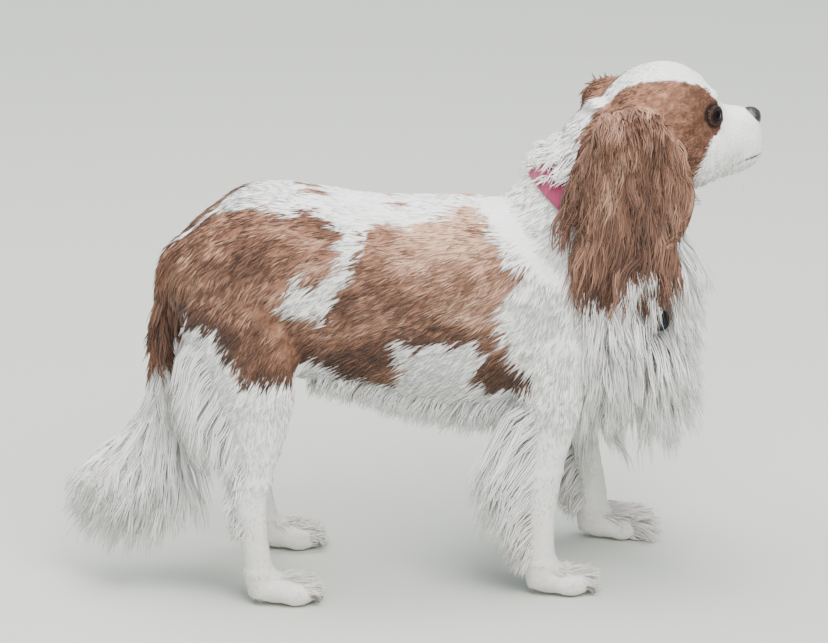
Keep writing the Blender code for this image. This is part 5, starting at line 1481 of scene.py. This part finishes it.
def whiskers(material):
    """A few long fine whiskers on each lip."""
    matrix = head_matrix()
    tree = tree_of([bpy.data.objects["skin"]])
    rng = np.random.default_rng(61)
    roots, tips, outs = [], [], []
    for side in (1, -1):
        for row in range(3):
            for k in range(4):
                guess = matrix @ Vector((0.054 - 0.006 * k, 0.021 * side, -0.013 - 0.0045 * row))
                place, normal, _, _ = tree.find_nearest(guess)
                outward = Vector((-0.35 - 0.15 * k, 0.95 * side, -0.15 - 0.25 * row))
                way = (matrix.to_3x3() @ outward).normalized()
                length = rng.uniform(0.020, 0.032)
                roots.append(place)
                tips.append((way, length))
                outs.append(normal)
    paths = np.array([[root + way * length * t - Vector((0, 0, 1)) * length * 0.35 * t * t for t in
                       (0, 0.25, 0.5, 0.75, 1)] for root, (way, length) in zip(roots, tips)])
    count = len(paths)
    width = np.full(count, 0.00045)
    colours = np.tile(srgb(225, 220, 214), (count, 1))
    uv = np.tile([0.5, 0.5], (count, 1)) + rng.uniform(-0.01, 0.01, (count, 2))
    return blades("whiskers", paths, np.array(outs), width, width, colours, uv, material)


def built():
    mats = {
        "skin": painted("skin_coat", 0.85, bump=0.5, scale=500.0, specular=0.2),
        "coat": painted("hair", 0.55, sheen=0.10, specular=0.30),
        "eye": painted("eye_wet", 0.10, specular=0.07),
        "nose": painted("nose_leather", 0.32, bump=0.25, scale=1800.0, coat=0.25),
        "rim": plain("lid_rim", srgb(24, 17, 16), 0.45, specular=0.2),
        "lip": plain("lip_edge", srgb(52, 40, 40), 0.45),
        "claw": plain("claw_horn", srgb(120, 106, 100), 0.40),
    }
    skin = skin_of_dog()
    skin.name = "skin"
    ear_tree = ear_surface()
    points = points_of(skin)
    # Painted shade: the skin takes the coat's colour darkened to 0.86, for the shade under the tufts
    colours = coat_colour(points, is_ear(points, ear_tree), np.random.default_rng(3)) * 0.86
    local = in_head(points)
    for side in (1, -1):
        near = np.linalg.norm(local - np.array(sided(EYE_PLACE, side)), axis=1)
        dark = (1 - soft(near, EYE_RADIUS + 0.0012, EYE_RADIUS + 0.0030))[:, None]
        colours = colours * (1 - dark) + srgb(40, 27, 23) * dark
    set_colours(skin, np.clip(colours, 0, 1))
    skin.data.shade_smooth()
    skin.data.materials.clear()
    skin.data.materials.append(mats["skin"])
    flesh_nodes = ["head", "neck", "torso", "tail_upper", "tail_lower"]
    for word in SIDES:
        parts = ("fore_leg", "hind_leg", "fore_paw", "hind_paw", "ear")
        flesh_nodes += [f"{part}_{word}" for part in parts]
    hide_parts(*flesh_nodes)
    pieces = [skin]
    pieces += grown_coat(skin, mats["coat"])
    for word in SIDES:
        ball = eyeball(word, mats["eye"])
        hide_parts(f"eye_{word}")
        rim = lids(word, mats["rim"])
        pieces += [ball, rim]
    nose = nose_leather(mats["nose"])
    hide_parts("nose")
    line = mouth_points(tree_of([skin]))
    swells = [math.sin(math.pi * i / (len(line) - 1)) ** 0.5 for i in range(len(line))]
    thick = [0.0009 * (0.35 + 0.65 * swell) for swell in swells]
    lip = cord_along("lip_edge", line, thick)
    lip.data.shade_smooth()
    lip.data.materials.append(mats["lip"])
    pieces += [nose, lip]
    pieces += claws(mats["claw"])
    pieces += whiskers(mats["coat"])
    drop(GUARDS)
    for piece in pieces:
        piece.data.transform(Matrix.Translation(SHIFT))
        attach(piece, "root")
    finishes = {
        "collar": webbing("collar_webbing", srgb(164, 52, 92), srgb(120, 28, 64)),
        "tag_ring": metal("ring_steel", srgb(190, 190, 195), 0.25),
        "tag": metal("tag_steel", srgb(70, 72, 80), 0.30),
    }
    for name, finish in finishes.items():
        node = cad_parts[name]
        node.data.materials.clear()
        node.data.materials.append(finish)
    return pieces


def studio():
    floor = bpy.data.meshes.new("floor")
    floor.from_pydata([(-8, -8, 0), (8, -8, 0), (8, 8, 0), (-8, 8, 0)], [], [(0, 1, 2, 3)])
    floor.materials.append(plain("pale_floor", srgb(196, 200, 190), 0.9, specular=0.2))
    ground = object_of("floor", floor)
    for name, place, size, power in LAMPS:
        lamp = bpy.data.lights.new(name, "AREA")
        lamp.size = size
        lamp.energy = power
        lamp.color = (1.0, 0.98, 0.95)
        holder = object_of(name, lamp)
        holder.location = place
        holder.rotation_mode = "QUATERNION"
        holder.rotation_quaternion = (Vector((0, 0, 0.2)) - Vector(place)).to_track_quat("-Z", "Y")
    world = bpy.data.worlds.new("sky")
    world.use_nodes = True
    world.node_tree.nodes["Background"].inputs["Color"].default_value = (*SKY, 1)
    world.node_tree.nodes["Background"].inputs["Strength"].default_value = SKY_POWER
    bpy.context.scene.world = world
    lens = bpy.data.cameras.new("camera")
    lens.sensor_width = 36
    lens.lens = LENS
    lens.clip_start, lens.clip_end = 0.1, 100
    camera = object_of("camera", lens)
    turn, rise = math.radians(CAMERA_AZIMUTH), math.radians(CAMERA_RISE)
    back = Vector((math.sin(turn) * math.cos(rise), -math.cos(turn) * math.cos(rise), math.sin(rise)))
    camera.location = CAMERA_AIM + SHIFT + back * CAMERA_FAR
    camera.rotation_mode = "QUATERNION"
    camera.rotation_quaternion = (-back).to_track_quat("-Z", "Y")
    bpy.context.scene.camera = camera


GUARDS = []
put_size()
low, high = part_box("eye_right")
SHIFT = (low + high) / 2 - head_matrix() @ sided(EYE_PLACE, SIDES["right"])
built()
studio()
put_size()
